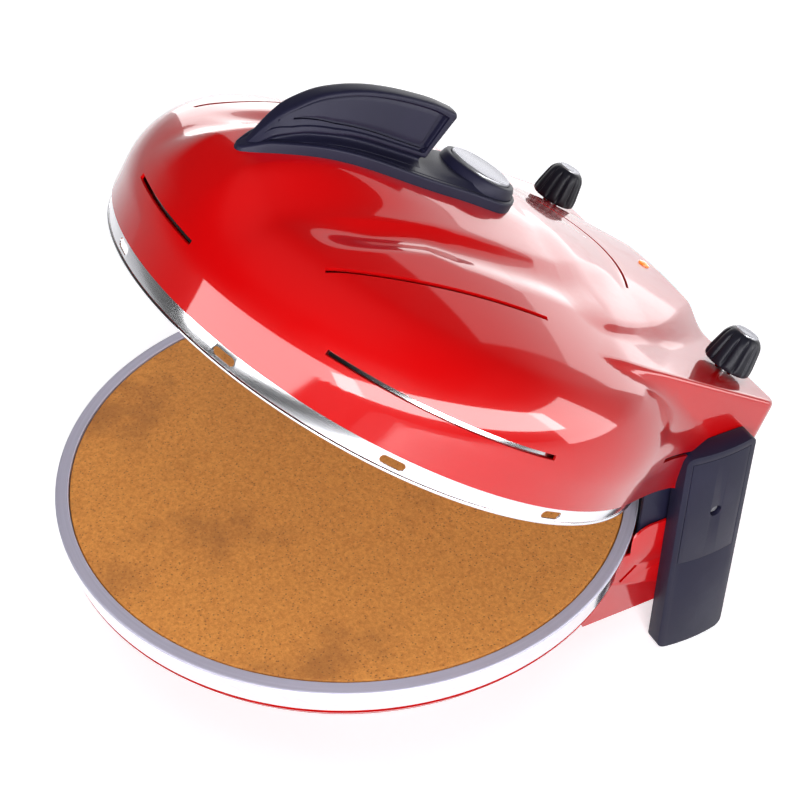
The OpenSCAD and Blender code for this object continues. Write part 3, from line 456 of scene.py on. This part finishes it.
def deck_field(p):
    """The box under the control deck, which sinks into the dome towards the front."""
    x, y, z = p[:, 0], p[:, 1], p[:, 2]
    slope = (TAIL_Y - DECK_Y) / (DECK_H - SKIRT)
    rear = (y - DECK_Y - slope * (DECK_H - z)) / math.hypot(1, slope)
    return np.maximum(meet(meet(np.abs(x) - LID_X, rear, 8.0), z - DECK_H, 2.6) + 9 * (1 - smooth(y / 50)), -y)


def back_field(p):
    """The raised back between the knobs, with leaning sides and a gently arched ridge."""
    x, y, z = p[:, 0], p[:, 1], p[:, 2]
    t = (z - 70.5) / 24.5
    along = np.clip(y, BACK_Y[0], BACK_Y[-1])
    low = np.polyval(BACK_LOW, along)
    high = np.polyval(BACK_HIGH, along)
    side = (np.abs(x) - (low + (high - low) * t)) * 0.88
    axis_z = RIDGE_H - RIDGE_R - RIDGE_SLOPE * y
    ridge = np.hypot(x, z - axis_z) - RIDGE_R
    ridge = ridge + 11 * (1 - smooth((y + 4) / 60))
    rear = (y - DECK_Y + 1 + np.maximum(0, z - DECK_H) * 0.33) * 0.95
    return np.maximum(meet(meet(side, rear, 6.0), ridge, 5.0), -y)


def shell_field(p):
    """The whole lid; the fillet between dome and box grows towards the rim."""
    corner = 6 + 22 * smooth((DECK_H - 12 - p[:, 2]) / 24)
    return join(join(dome_field(p), deck_field(p), corner), back_field(p), 7.0) + scoop(p[:, 0], p[:, 1]) * 0.9


HALVINGS = 26  # Of 420 mm, which leaves far less than a micrometre


def wrap(bm, centre, field, reach=420.0):
    """Moves each vertex along its ray from the centre to where the field is zero."""
    start = np.array(centre, float)
    rays = np.array([v.co for v in bm.verts], float) - start
    rays /= np.linalg.norm(rays, axis=1, keepdims=True)
    near, far = np.zeros(len(rays)), np.full(len(rays), reach)
    for _ in range(HALVINGS):
        middle = (near + far) / 2
        inside = field(start + rays * middle[:, None]) < 0
        near, far = np.where(inside, middle, near), np.where(inside, far, middle)
    for vertex, point in zip(bm.verts, start + rays * near[:, None]):
        vertex.co = point


def field_normals(points, field, step=0.05):
    """Outward directions of the field at the points."""
    columns = []
    for axis in np.eye(3) * step:
        columns.append(field(points + axis) - field(points - axis))
    found = np.stack(columns, 1)
    return found / np.maximum(1e-9, np.linalg.norm(found, axis=1, keepdims=True))


def draped_grid(x, y0, y1, top, bottom, columns, rows, drops):
    """A flat grid at the height top, with its border drawn down to bottom."""
    bm = bmesh.new()
    bmesh.ops.create_grid(bm, x_segments=columns, y_segments=rows, size=0.5)
    shape = Matrix.Translation((0, (y0 + y1) / 2, top)) @ Matrix.Diagonal((2 * x, y1 - y0, 1, 1))
    bmesh.ops.transform(bm, matrix=shape, verts=bm.verts)
    edges = [e for e in bm.edges if e.is_boundary]
    for _ in range(drops):
        made = bmesh.ops.extrude_edge_only(bm, edges=edges)["geom"]
        verts = {g for g in made if isinstance(g, bmesh.types.BMVert)}
        bmesh.ops.translate(bm, vec=(0, 0, (bottom - top) / drops), verts=list(verts))
        edges = [g for g in made if isinstance(g, bmesh.types.BMEdge) and all(v in verts for v in g.verts)]
    bmesh.ops.recalc_face_normals(bm, faces=bm.faces)
    return bm


def bowed_slot(p, q, bow, width, low, high, steps=24):
    """A cutter for a narrow slot from p to q that bulges to the left of its direction."""
    p, q = Vector(p), Vector(q)
    across = (q - p).normalized()
    side = Vector((-across.y, across.x))
    bm = bmesh.new()
    rails = []
    for offset in (-width / 2, width / 2):
        rail = []
        for i in range(steps + 1):
            t = i / steps
            spot = p.lerp(q, t) + side * (bow * 4 * t * (1 - t) + offset)
            rail.append(bm.verts.new((spot.x, spot.y, low)))
        rails.append(rail)
    faces = [bm.faces.new((rails[0][i], rails[0][i + 1], rails[1][i + 1], rails[1][i])) for i in range(steps)]
    raised = bmesh.ops.extrude_face_region(bm, geom=faces)["geom"]
    verts = [g for g in raised if isinstance(g, bmesh.types.BMVert)]
    bmesh.ops.translate(bm, vec=(0, 0, high - low), verts=verts)
    bmesh.ops.recalc_face_normals(bm, faces=bm.faces)
    return bm


def ring_slot(start, sweep, low, high, inner, outer, steps=40):
    """A cutter for a level slot round the dome, angles in degrees."""
    bm = bmesh.new()
    corners = [bm.verts.new((r, 0, z)) for r, z in ((inner, low), (outer, low), (outer, high), (inner, high))]
    bmesh.ops.rotate(bm, cent=(0, 0, 0), matrix=Matrix.Rotation(math.radians(start), 3, "Z"), verts=corners)
    face = bm.faces.new(corners)
    bmesh.ops.spin(bm, geom=[face], cent=(0, 0, 0), axis=(0, 0, 1), angle=math.radians(sweep), steps=steps)
    bmesh.ops.remove_doubles(bm, verts=bm.verts, dist=MERGE)
    bmesh.ops.recalc_face_normals(bm, faces=bm.faces)
    return bm


def block(low, high):
    """A straight cutter between two opposite corners."""
    bm = bmesh.new()
    bmesh.ops.create_cube(bm, size=1)
    size = [b - a for a, b in zip(low, high)]
    middle = [(a + b) / 2 for a, b in zip(low, high)]
    bmesh.ops.transform(bm, matrix=Matrix.Translation(middle) @ Matrix.Diagonal((*size, 1)), verts=bm.verts)
    return bm


def bar(radius, p, q):
    """A round cutter from p to q."""
    p, q = Vector(p), Vector(q)
    bm = bmesh.new()
    sizes = {"radius1": radius, "radius2": radius, "depth": (q - p).length}
    bmesh.ops.create_cone(bm, cap_ends=True, segments=32, **sizes)
    turn = Vector((0, 0, 1)).rotation_difference(q - p).to_matrix().to_4x4()
    bmesh.ops.transform(bm, matrix=Matrix.Translation((p + q) / 2) @ turn, verts=bm.verts)
    return bm


def loose_object(name, bm):
    mesh = bpy.data.meshes.new(name)
    bm.to_mesh(mesh)
    bm.free()
    thing = bpy.data.objects.new(name, mesh)
    bpy.context.scene.collection.objects.link(thing)
    return thing


def worked(bm, cutters=(), wall=0.0):
    """The bmesh with a wall thickness inwards and the cutters taken away, as a new mesh."""
    blank = loose_object("blank", bm)
    if wall:
        thicken = blank.modifiers.new("wall", "SOLIDIFY")
        thicken.thickness, thicken.offset = wall, -1
    tools = [loose_object("cutter", c) for c in cutters]
    for tool in tools:
        cut = blank.modifiers.new("cut", "BOOLEAN")
        cut.operation, cut.solver, cut.object = "DIFFERENCE", "EXACT", tool
    bpy.context.view_layer.update()
    result = bpy.data.meshes.new_from_object(blank.evaluated_get(bpy.context.evaluated_depsgraph_get()))
    for thing in [blank, *tools]:
        bpy.data.objects.remove(thing)
    return result


def surfaced(name, mesh, node, where, field):
    """Dresses a mesh whose smooth skin lies on a field: there it takes the field's own
    normals, and elsewhere those of its faces."""
    points = np.zeros(len(mesh.vertices) * 3)
    mesh.vertices.foreach_get("co", points)
    points = points.reshape(-1, 3)
    on_skin = np.abs(field(points)) < 0.03
    directions = field_normals(points, field)
    turn = np.array(where.to_3x3().normalized())
    directions = directions @ turn.T
    mesh.transform(where)
    thing = dress(name, mesh, node)
    flat = np.zeros(len(mesh.corner_normals) * 3)
    mesh.corner_normals.foreach_get("vector", flat)
    corners = flat.reshape(-1, 3)
    loops = np.zeros(len(mesh.loops), int)
    mesh.loops.foreach_get("vertex_index", loops)
    wanted = directions[loops]
    agrees = on_skin[loops] & ((corners * wanted).sum(1) > 0.8)
    corners = np.where(agrees[:, None], wanted, corners)
    mesh.normals_split_custom_set([tuple(n) for n in corners])
    return thing


DOME_SLOTS = ((-101.3, 22.6), (-48, 43.4), (-175.4, 43.4))  # Start and sweep in degrees
CROWN_SLOT = ((79, -120), (103, -6))  # Its front and rear end, on one side


def lid_shell():
    """The pressed shell: a draped grid wrapped on the field, given its wall and cut."""
    bm = draped_grid(LID_X, y0=-170, y1=172, top=DECK_H, bottom=-46, columns=116, rows=168, drops=48)
    wrap(bm, (0, 14, -60), shell_field)
    geometry = bm.verts[:] + bm.edges[:] + bm.faces[:]
    bmesh.ops.bisect_plane(
        bm, geom=geometry, plane_co=(0, 0, SKIRT), plane_no=(0, 0, -1), clear_outer=True, dist=0.001
    )
    cutters = [ring_slot(start, sweep, 36.5, 39.1, LID_R - 12, LID_R + 4) for start, sweep in DOME_SLOTS]
    cutters.append(bowed_slot((-47, 94), (47, 94), bow=14.5, width=2.4, low=77, high=100))
    for side, _ in SIDES:
        ends = [(side * x, y) for x, y in CROWN_SLOT][::-side]
        cutters.append(bowed_slot(*ends, bow=1.8, width=2.6, low=50, high=100))
        left, right = sorted((side * (LID_X - 6), side * (LID_X + 24)))
        cutters.append(block((left, 88, 34.3), (right, 136, 36.7)))
        hinge_hole = [(side * (LID_X + d), PIVOT.y, PIVOT.z) for d in (-5, 5)]
        shaft_hole = [(side * KNOB_X, KNOB_Y, DECK_H + d) for d in (-6, 6)]
        cutters += [bar(6.5, *hinge_hole), bar(5.0, *shaft_hole)]
    mesh = worked(bm, cutters, WALL)
    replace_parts(surfaced("lid_shell_skin", mesh, "lid_shell", LID, shell_field), "lid_shell")


lid_shell()

# ---------- Turned and lofted pieces ----------


def through(rows, count):
    """A smooth run of count rows that passes through the given ones."""
    p = np.array(rows, float)
    t = np.linspace(0, len(p) - 1, count)
    i = np.minimum(t.astype(int), len(p) - 2)
    f = (t - i)[:, None]
    a, b, c, d = p[np.maximum(i - 1, 0)], p[i], p[i + 1], p[np.minimum(i + 2, len(p) - 1)]
    return 0.5 * (2 * b + (c - a) * f + (2 * a - 5 * b + 4 * c - d) * f**2 + (3 * b - a - 3 * c + d) * f**3)


def lofted(rings):
    """A closed skin over rings with the same number of points each."""
    bm = bmesh.new()
    rows = [[bm.verts.new(p) for p in ring] for ring in rings]
    for low, high in zip(rows, rows[1:]):
        for i in range(len(low)):
            j = (i + 1) % len(low)
            bm.faces.new((low[i], low[j], high[j], high[i]))
    bm.faces.new(rows[0])
    bm.faces.new(rows[-1])
    bmesh.ops.recalc_face_normals(bm, faces=bm.faces)
    return bm


def turned_piece(name, profile, node, where, slot=None, segments=256, angle=32.0, stands_for=True):
    """A turned form as a piece, which replaces its node unless another piece does."""
    thing = piece(name, turned_form(profile, segments), node, where, angle, slot)
    if stands_for:
        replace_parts(thing, node)


def ring_and_stone():
    """The steel ring in two parts, its satin top with the ledge and its bright band, and the stone."""
    top = [(158.1, 97.0), (158.5, 97.4), (164.0, 97.4), *curve(164.0, 95.8, 1.6, 80, 0, 8)]
    top += [(164.6, 95.8), (164.0, 96.4), (159.1, 96.4), (159.1, 82), (148.5, 82), (148.5, 83), (158.1, 83)]
    turned_piece("ring_top", top, "rim_ring", BASE, segments=384)
    band = [*curve(164.02, 95.8, 1.6, 20, -4, 5), *curve(162.9, 82.0, 0.6, 10, -100, 5)]
    band += [(162.0, 81.8), (164.5, 96.2)]
    turned_piece("ring_band", band, "rim_ring", BASE, "bright_steel", 384, 40, False)
    rim = [(0, 83), *curve(156.3, 84.2, 1.2, -90, 0), *curve(156.1, 95.6, 1.4, 0, 90), (0, 97)]
    turned_piece("stone_disc", rim, "baking_stone", BASE, segments=384)


VENTS = 11


def vent_cutter(turn):
    """A slot with round ends, cut through the reflector's skirt."""
    length, height, z, x0, x1 = 13.0, 4.6, 6.5, 152.0, 168.0
    r = height / 2
    outline = []
    for end in (1, -1):
        for i in range(13):
            t = math.radians(15 * i) if end > 0 else math.radians(180 + 15 * i)
            outline.append((end * (length / 2 - r) + r * math.sin(t), r * math.cos(t)))
    bm = lofted([[(x, y, z + h) for y, h in outline] for x in (x0, x1)])
    bmesh.ops.rotate(bm, cent=(0, 0, 0), matrix=Matrix.Rotation(math.radians(turn), 3, "Z"), verts=bm.verts)
    return bm


def reflector():
    """The polished reflector with its vents, and the rolled bead at its edge."""
    outer = [(160.2, 1.4), (161.5, 13.2), *curve(124.0, 24.0, 36.0, 0, 90, 24), (0, 60)]
    inner = [(0, 59.2), *curve(124.0, 24.0, 35.2, 90, 0, 24), (160.7, 13.2), (159.4, 1.4)]
    skin = turned_form(outer + inner, 384)
    mesh = worked(skin, [vent_cutter(-62.6 + i * 360 / VENTS) for i in range(VENTS)])
    mesh.transform(LID)
    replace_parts(dress("reflector_skin", mesh, "lid_reflector", 32.0), "lid_reflector")
    bead = turned_form(curve(160.0, 1.7, 1.0, 0, 342, 19), 384)
    piece("reflector_bead", bead, "lid_reflector", LID, 60.0)


# Each row of the grip: Y and Z of the crest, Y and Z of the lower lip, share of the full width
GRIP_ROWS = [
    (-137.8, 75.5, -138, 70, 0.25), (-136.2, 82, -136, 76.5, 0.34), (-132.9, 91.3, -132.5, 84, 0.48),
    (-129, 99.8, -128, 90.2, 0.66), (-124, 106.7, -121.5, 94.6, 0.85), (-113.8, 116, -112, 98.8, 0.95),
    (-101.8, 122.3, -101, 101.5, 1), (-89.5, 126.5, -89, 104, 1), (-76, 129.3, -76.5, 104.9, 1),
    (-62, 131, -63.5, 105.1, 1), (-49, 131.8, -53, 105.3, 1), (-36.2, 131.2, -44.5, 105.5, 1),
]
FINE = 20
GRIP = through(GRIP_ROWS, (len(GRIP_ROWS) - 1) * FINE + 1)
PLATE_T = 5.5


def grip_widths(row):
    """Half widths of a row at the crest's edge and at the lip, and the depth of its hollow."""
    share = row[4]
    return 5.0 * min(1, share * 1.15), 10.0 * share, 4 * max(0, share - 0.5) / 0.5


def grip_side(row, v, depth=0.0):
    """A point on the grip's side, with v from 0 under the crest to 1 at the lip."""
    top, lip, _ = grip_widths(row)
    a, b = Vector((top, row[0], row[1] - 1.7)), Vector((lip, row[2], row[3] + 0.9))
    return a.lerp(b, v) - Vector((depth, 0, 0))


def grip_ring(row, low, split, high, deep, groove):
    """One section of the grip: its side is sunk by deep, and by groove just below the split."""
    top, lip, waist = grip_widths(row)
    crest_y, crest_z, lip_y, lip_z = row[:4]
    foot = min(float(crown_height(0, lip_y)) + PLATE_T, lip_z - 5)
    eased = ((0, 0), (0.4, 0.03), (0.65, 0.16), (0.82, 0.42), (0.94, 0.95))
    half = [Vector((top * a, crest_y, crest_z - b)) for a, b in eased]
    half += [grip_side(row, low * i / 3) for i in range(4)]
    start, end = low + 0.05 * (high - low), high - 0.03 * (high - low)
    ledge = min(split + 0.085, end)
    half += [grip_side(row, start + (split - start) * i / 5, deep) for i in range(6)]
    half += [grip_side(row, split + (ledge - split) * i / 3, groove) for i in range(4)]
    half += [grip_side(row, ledge + (end - ledge) * i / 2, deep) for i in range(3)]
    half += [grip_side(row, high + (1 - high) * i / 3) for i in range(4)]
    half += [Vector((lip - a, lip_y, lip_z + b)) for a, b in ((0.08, 0.45), (0.35, 0.05), (0.85, -0.3))]
    for i in range(1, 13):
        s = i / 12
        x = lip - waist * math.sin(math.pi * s) ** 0.75 - 0.85 * (1 - s)
        half.append(Vector((x, lip_y, lip_z - 0.3 + (foot - lip_z + 0.3) * s)))
    half += [Vector((lip + 0.3, lip_y, foot - 0.4)), Vector((lip + 0.3, lip_y, foot - 2.5))]
    return half + [Vector((-p.x, p.y, p.z)) for p in half[:0:-1]]


# The side panel's upper edge, split and lower edge: row number, and v there
PANEL_LOW = ([2.3, 2.6, 3, 4, 5, 9, 10.2, 10.8], [0.34, 0.2, 0.1, 0.05, 0.035, 0.035, 0.045, 0.08])
PANEL_SPLIT = ([2.3, 3, 4, 4.5, 5, 6, 7, 8, 9, 11], [0.36, 0.33, 0.4, 0.5, 0.6, 0.71, 0.77, 0.785, 0.8, 0.81])
PANEL_HIGH = (
    [2.3, 2.6, 3, 3.5, 4, 5, 6, 7, 8, 10.6, 10.8],
    [0.38, 0.5, 0.6, 0.7, 0.78, 0.86, 0.905, 0.94, 0.95, 0.95, 0.93],
)


def panel_rows(start, end):
    """Rows of the grip's side panel: the row, the v of its edges and of the split between them."""
    for k in range(int(start * FINE), int(end * FINE) + 1):
        t = k / FINE
        yield t, GRIP[k], *(np.interp(t, *line) for line in (PANEL_LOW, PANEL_SPLIT, PANEL_HIGH))


def side_patch(side, start, end, skins, steps=14):
    """A closed slab on the grip's side between two skins, functions of the distance from its edge."""
    rings = []
    rows = list(panel_rows(start, end))
    for i, (t, row, low, split, _) in enumerate(rows):
        narrowed = smooth((t - 10.2) / 0.25)
        low, high = low + 0.045 + 0.05 * narrowed, split - 0.06 * narrowed
        ring = []
        for skin, order in zip(skins, (range(steps + 1), range(steps, -1, -1))):
            for j in order:
                edge = min(i, len(rows) - 1 - i, 1.5 * j, 1.5 * (steps - j))
                p = grip_side(row, low + (high - low) * j / steps, skin(edge))
                ring.append((side * p.x, p.y, p.z))
        rings.append(ring)
    return lofted(rings)


def grip():
    """The grip in one loft with a recess on each side, closed by an eased end, and its insets."""
    first, last = 2.3, 10.75
    recess = list(panel_rows(first, last))
    before, after = int(first * FINE), int(last * FINE) + 1
    rings = [grip_ring(row, *recess[0][2:], 0, 0) for row in [*GRIP[: before - 1 : 2], GRIP[before]]]
    for t, row, low, split, high in recess:
        deep = 1.2 * smooth((t - first) / 0.5)
        groove = deep + 1.7 * smooth((t - 4.1) / 0.15)
        back = 10.4 < t < 10.62
        rings.append(grip_ring(row, low, split, high, groove if back else deep, groove))
    rings += [grip_ring(row, *recess[-1][2:], 0, 0) for row in [GRIP[after - 1], *GRIP[after::2]]]
    for shift in ((0.7, -0.25, 0.7, 0, -0.012), (1.2, -0.8, 1.0, 0, -0.035)):
        rings.append(grip_ring(GRIP[-1] + np.array(shift), *recess[-1][2:], 0, 0))
    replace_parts(piece("grip_body", lofted(rings), "handle_grip", LID, 35.0), "handle_grip")
    skins = (lambda edge: 0.72 + 0.4 * max(0, 1 - edge / 2) ** 2, lambda edge: 1.25)
    for side, word in SIDES:
        inset = side_patch(side, 3.2, 10.38, skins)
        thing = piece("inset_" + word, inset, "grip_inset_" + word, LID, 35.0, "slate_plastic")
        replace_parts(thing, "grip_inset_" + word)


# Half width and Y of the plate's outline
PLATE_EDGE = [
    (0.05, -139.8), (2.2, -139.3), (4.4, -137.5), (8.3, -129.5), (12.5, -114), (16, -88), (18.7, -60),
    (22.4, -26), (25, -3), (24.7, 5), (21.8, 11.5), (17, 17), (11, 21.2), (5.5, 23.2), (0.05, 23.8),
]


def plate():
    """The plate under the grip: it follows the lid, with an eased edge and a fine border line."""
    rings = []
    for half, y in through(PLATE_EDGE, 170):
        half = max(half, 0.05)
        reach = min(1.0, half / 7)
        away = [0, 0.08, 0.25, 0.55, 1.0, 1.6, 2.4, 2.7, 2.9, 3.1, 3.3, 3.6, 4.5]
        xs = [half - d * reach for d in away]
        xs += [xs[-1] * (1 - i / 8) for i in range(1, 9)]
        x = np.array(xs + [-v for v in xs[-2::-1]])
        d = half - np.abs(x)
        drop = 1.1 - np.sqrt(np.maximum(0, 1.1**2 - np.maximum(0, 1.1 - d) ** 2))
        line = 0.35 * reach * np.exp(-(((d / reach - 3.0) / 0.28) ** 2))
        z = crown_height(x, np.full(len(x), y))
        swell = 2.2 * smooth(np.clip((44 - np.hypot(x, y)) / 20, 0, 1) * np.clip((d / reach - 3.2) / 4, 0, 1))
        thick = 2.4 + (PLATE_T - 2.4) * smooth((y + 141) / 13)
        top = [(a, y, b) for a, b in zip(x, z + thick - drop - line + swell)]
        rings.append(top + [(-half, y, z[-1] - 0.4), (half, y, z[0] - 0.4)])
    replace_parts(piece("plate_body", lofted(rings), "handle_plate", LID, 38.0), "handle_plate")


def disc_and_collar():
    """The polished disc, slightly crowned, in the flared collar of the plate."""
    spot = LID @ Matrix.Translation((0, 0, 107.3)) @ Matrix.Rotation(math.radians(-3), 4, "X")
    collar = [(17.75, -1.7), (17.75, -0.4), (18.1, -0.05), (19.7, 0), (20.5, -0.35), (20.9, -1.1), (21.3, -1.8)]
    collar += [(22.0, -4.2), (22.3, -5.2), (22.3, -7.4), (14, -13), (13, -13)]
    turned_piece("disc_collar", collar, "handle_plate", spot, segments=192, angle=40, stands_for=False)
    disc = [(0, -1.6), (17.5, -1.6), (17.5, 0.5), *curve(16.6, 0.5, 0.9, 0, 90, 5), (15.9, 1.25), (15.6, 1.3)]
    disc += [(15.6 * (1 - i / 8), 1.3 + 0.5 * (1 - (1 - i / 8) ** 2)) for i in range(1, 9)]
    turned_piece("disc_face", disc, "centre_disc", spot, segments=192, angle=22)


def knob(side, word):
    """A tapering knob with twelve flutes between slightly swelling petals."""
    spot = LID @ Matrix.Translation((side * KNOB_X, KNOB_Y, DECK_H + 3))
    profile = [(11.8, 0), (12.9, 0.2), (13.5, 0.8), (13.8, 1.8), (13.78, 3.4), (13.5, 5.6), (13.0, 8.2)]
    profile += [(12.5, 10.8), (12.0, 13.2), (11.6, 15.2), (11.2, 16.6), (10.6, 17.9), (9.8, 19.1)]
    profile += [(8.9, 20.1), (8.0, 20.7), (7.5, 21)]
    around = 288
    turns = np.arange(around) * (2 * math.pi / around)
    off = (turns + math.pi / 12) % (math.pi / 6) - math.pi / 12
    rings = []
    for r, z in profile:
        depth = np.interp(z, [0.8, 3.0, 16.5, 20.2], [0, 1.25, 1.0, 0])
        cut = depth * np.exp(-((off * 13 / 0.8) ** 2)) + 0.35 * depth * np.abs(np.cos(turns * 6)) ** 3
        rings.append([((r - c) * math.cos(t), (r - c) * math.sin(t), z) for c, t in zip(cut, turns)])
    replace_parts(piece("knob_body_" + word, lofted(rings), "knob_" + word, spot, 50.0), "knob_" + word)
    cap = [(0, 20.2), (6.9, 20.2), *curve(6.4, 21.5, 0.5, 0, 90, 4), (5.9, 21.9), (5.6, 21.9)]
    cap += [(5.6 * (1 - i / 5), 21.9 + 0.25 * i / 5) for i in range(1, 6)]
    turned_piece("knob_cap_face_" + word, cap, "knob_cap_" + word, spot, segments=128, angle=25)


def lens():
    """The pilot lens, a low dome square to the ridge of the raised back."""
    slope = math.atan(RIDGE_SLOPE)
    spot = LID @ Matrix.Translation((0, LAMP_Y, RIDGE_H - LAMP_Y * RIDGE_SLOPE)) @ Matrix.Rotation(-slope, 4, "X")
    dome = [(0, -3), (3.3, -3), (3.3, -0.1), (3.6, 0), *curve(2.9, 0.35, 0.7, 0, 60, 4)]
    dome += [(2.9 * (1 - i / 6), 0.95 + 0.8 * (1 - (1 - i / 6) ** 2)) for i in range(1, 7)]
    turned_piece("lens_dome", dome, "pilot_lens", spot, segments=96, angle=30)


ring_and_stone()
reflector()
grip()
plate()
disc_and_collar()
for side, word in SIDES:
    knob(side, word)
lens()

# ---------- Frame nodes with eased edges ----------

EASED = {
    "leg_left": 2.0, "leg_right": 2.0, "leg_cover_left": 0.5, "leg_cover_right": 0.5,
    "hinge_bracket_left": 0.5, "hinge_bracket_right": 0.5, "front_foot_left": 0.8, "front_foot_right": 0.8,
    "base_shell": 0.4, "rear_deck": 0.3, "cable_gland": 0.4, "lid_rear_cover": 0.3,
    "hinge_arm_left": 0.3, "hinge_arm_right": 0.3, "hinge_bolt_left": 0.4, "hinge_bolt_right": 0.4,
    "bottom_plate": 0.2, "foot_pads": 0.4, "heater_pan": 0.2, "bottom_screws": 0.4, "leg_screws": 0.3,
}
for node, radius in EASED.items():
    rounded_copy(node, radius, slot="slate_plastic" if node.startswith("leg_cover") else None)

# ---------- Finishes of the frame's own nodes ----------

for node, thing in frame["nodes"].items():
    thing.data.materials.clear()
    thing.data.materials.append(FINISHES[SLOTS[node]].material)

# ---------- Camera, light and floor ----------


def camera():
    """The photo's viewing angle, with the slight roll of its camera."""
    back = Vector((0.67274, -0.35096, 0.65135)).normalized()
    right = Vector((0.4625, 0.8866, 0)).normalized()
    up = back.cross(right)
    roll = math.radians(0.64)
    right, up = right * math.cos(roll) + up * math.sin(roll), up * math.cos(roll) - right * math.sin(roll)
    data = bpy.data.cameras.new("photo angle")
    data.lens, data.sensor_width, data.clip_start = 73.5, 36.0, 0.05
    eye = bpy.data.objects.new("photo angle", data)
    spot = Vector((619.754, -290.426 + frame_y, 637.381 + STONE_H)) * MM
    eye.matrix_world = Matrix((
        (right.x, up.x, back.x, spot.x),
        (right.y, up.y, back.y, spot.y),
        (right.z, up.z, back.z, spot.z),
        (0, 0, 0, 1),
    ))
    bpy.context.scene.collection.objects.link(eye)
    bpy.context.scene.camera = eye


def softbox(name, spot, aim, size, power, mirrored=True, lit=True):
    """An area lamp that may show only in glossy surfaces, or light without showing in them."""
    data = bpy.data.lights.new(name, "AREA")
    data.shape, data.size, data.size_y, data.energy = "RECTANGLE", size[0], size[1], power
    lamp = bpy.data.objects.new(name, data)
    lamp.visible_glossy, lamp.visible_diffuse = mirrored, lit
    spot, aim = Vector(spot), Vector(aim)
    lamp.matrix_world = Matrix.Translation(spot) @ (spot - aim).to_track_quat("Z", "Y").to_matrix().to_4x4()
    bpy.context.scene.collection.objects.link(lamp)


def surroundings():
    """White to the camera; to the object, bright low behind it and dark elsewhere."""
    world = bpy.data.worlds.new("studio")
    bpy.context.scene.world = world
    world.use_nodes = True
    sky = Graph(world.node_tree)
    direction = sky.node("TexCoord", out="Generated")
    height = sky.node("SeparateXYZ", {}, {0: direction}, out=2)
    towards = sky.node("VectorMath", {"operation": "DOT_PRODUCT"}, {0: direction, 1: (-0.75, 0.66, 0)}, out="Value")
    level = height.step(0.1, 0.45, 0.4, 0.03) * towards.step(-0.5, 0.5, 0.12, 1.0)
    background = sky.tree.nodes["Background"].inputs
    background["Color"].default_value = (1, 1, 1, 1)
    sky.feed(background["Strength"], level.math("MAXIMUM", sky.node("LightPath", out="Is Camera Ray")))


def floor():
    """A pale floor that keeps the oven's shadow and turns plain white to the camera further away."""
    bm = bmesh.new()
    bmesh.ops.create_grid(bm, x_segments=1, y_segments=1, size=4)
    ground = loose_object("floor", bm)
    surface = Finish("pale floor", roughness=0.7, specular_ior_level=0.0, emission_strength=1.0)
    watched = surface.node("LightPath", out="Is Camera Ray")
    seen = watched.math("MAXIMUM", surface.node("LightPath", out="Is Glossy Ray"))
    far = surface.node("VectorMath", {"operation": "LENGTH"}, {0: surface.place()}, out="Value").step(0.8, 1.7)
    surface.set(
        base_color=surface.mix(seen, (0.34, 0.34, 0.36), (0.93, 0.93, 0.94)),
        emission_color=surface.mix(seen * 0.45 + watched * far * 0.55, (0, 0, 0), (0.97, 0.97, 1.0)),
    )
    ground.data.materials.append(surface.material)


camera()
surroundings()
softbox("over all", (0.1, -0.1, 1.9), (0, 0, 0), (1.8, 1.8), 15, False)
softbox("from the camera side", (1.55, -0.75, 0.9), (0, 0, 0.1), (1.2, 1.2), 38, False)
softbox("behind on the left", (-0.76, 0.76, 0.25), (0, 0, 0.25), (1.6, 0.5), 5)
softbox("high behind on the left", (-1.42, 1.42, 1.15), (0, 0, 1.15), (2.7, 0.9), 6)
softbox("mirrored on the right", (1.8, 0.1, 0.74), (0, 0.1, 0.74), (4.2, 0.6), 70, True, False)
softbox("mirrored in front", (0.62, -1.9, 0.74), (0, 0, 0.74), (2.7, 0.6), 28, True, False)
softbox("mirrored at the back right", (1.05, 1.7, 0.45), (0, 0, 0.45), (1.1, 0.9), 13, True, False)
floor()
bpy.context.scene.view_settings.view_transform = "Standard"
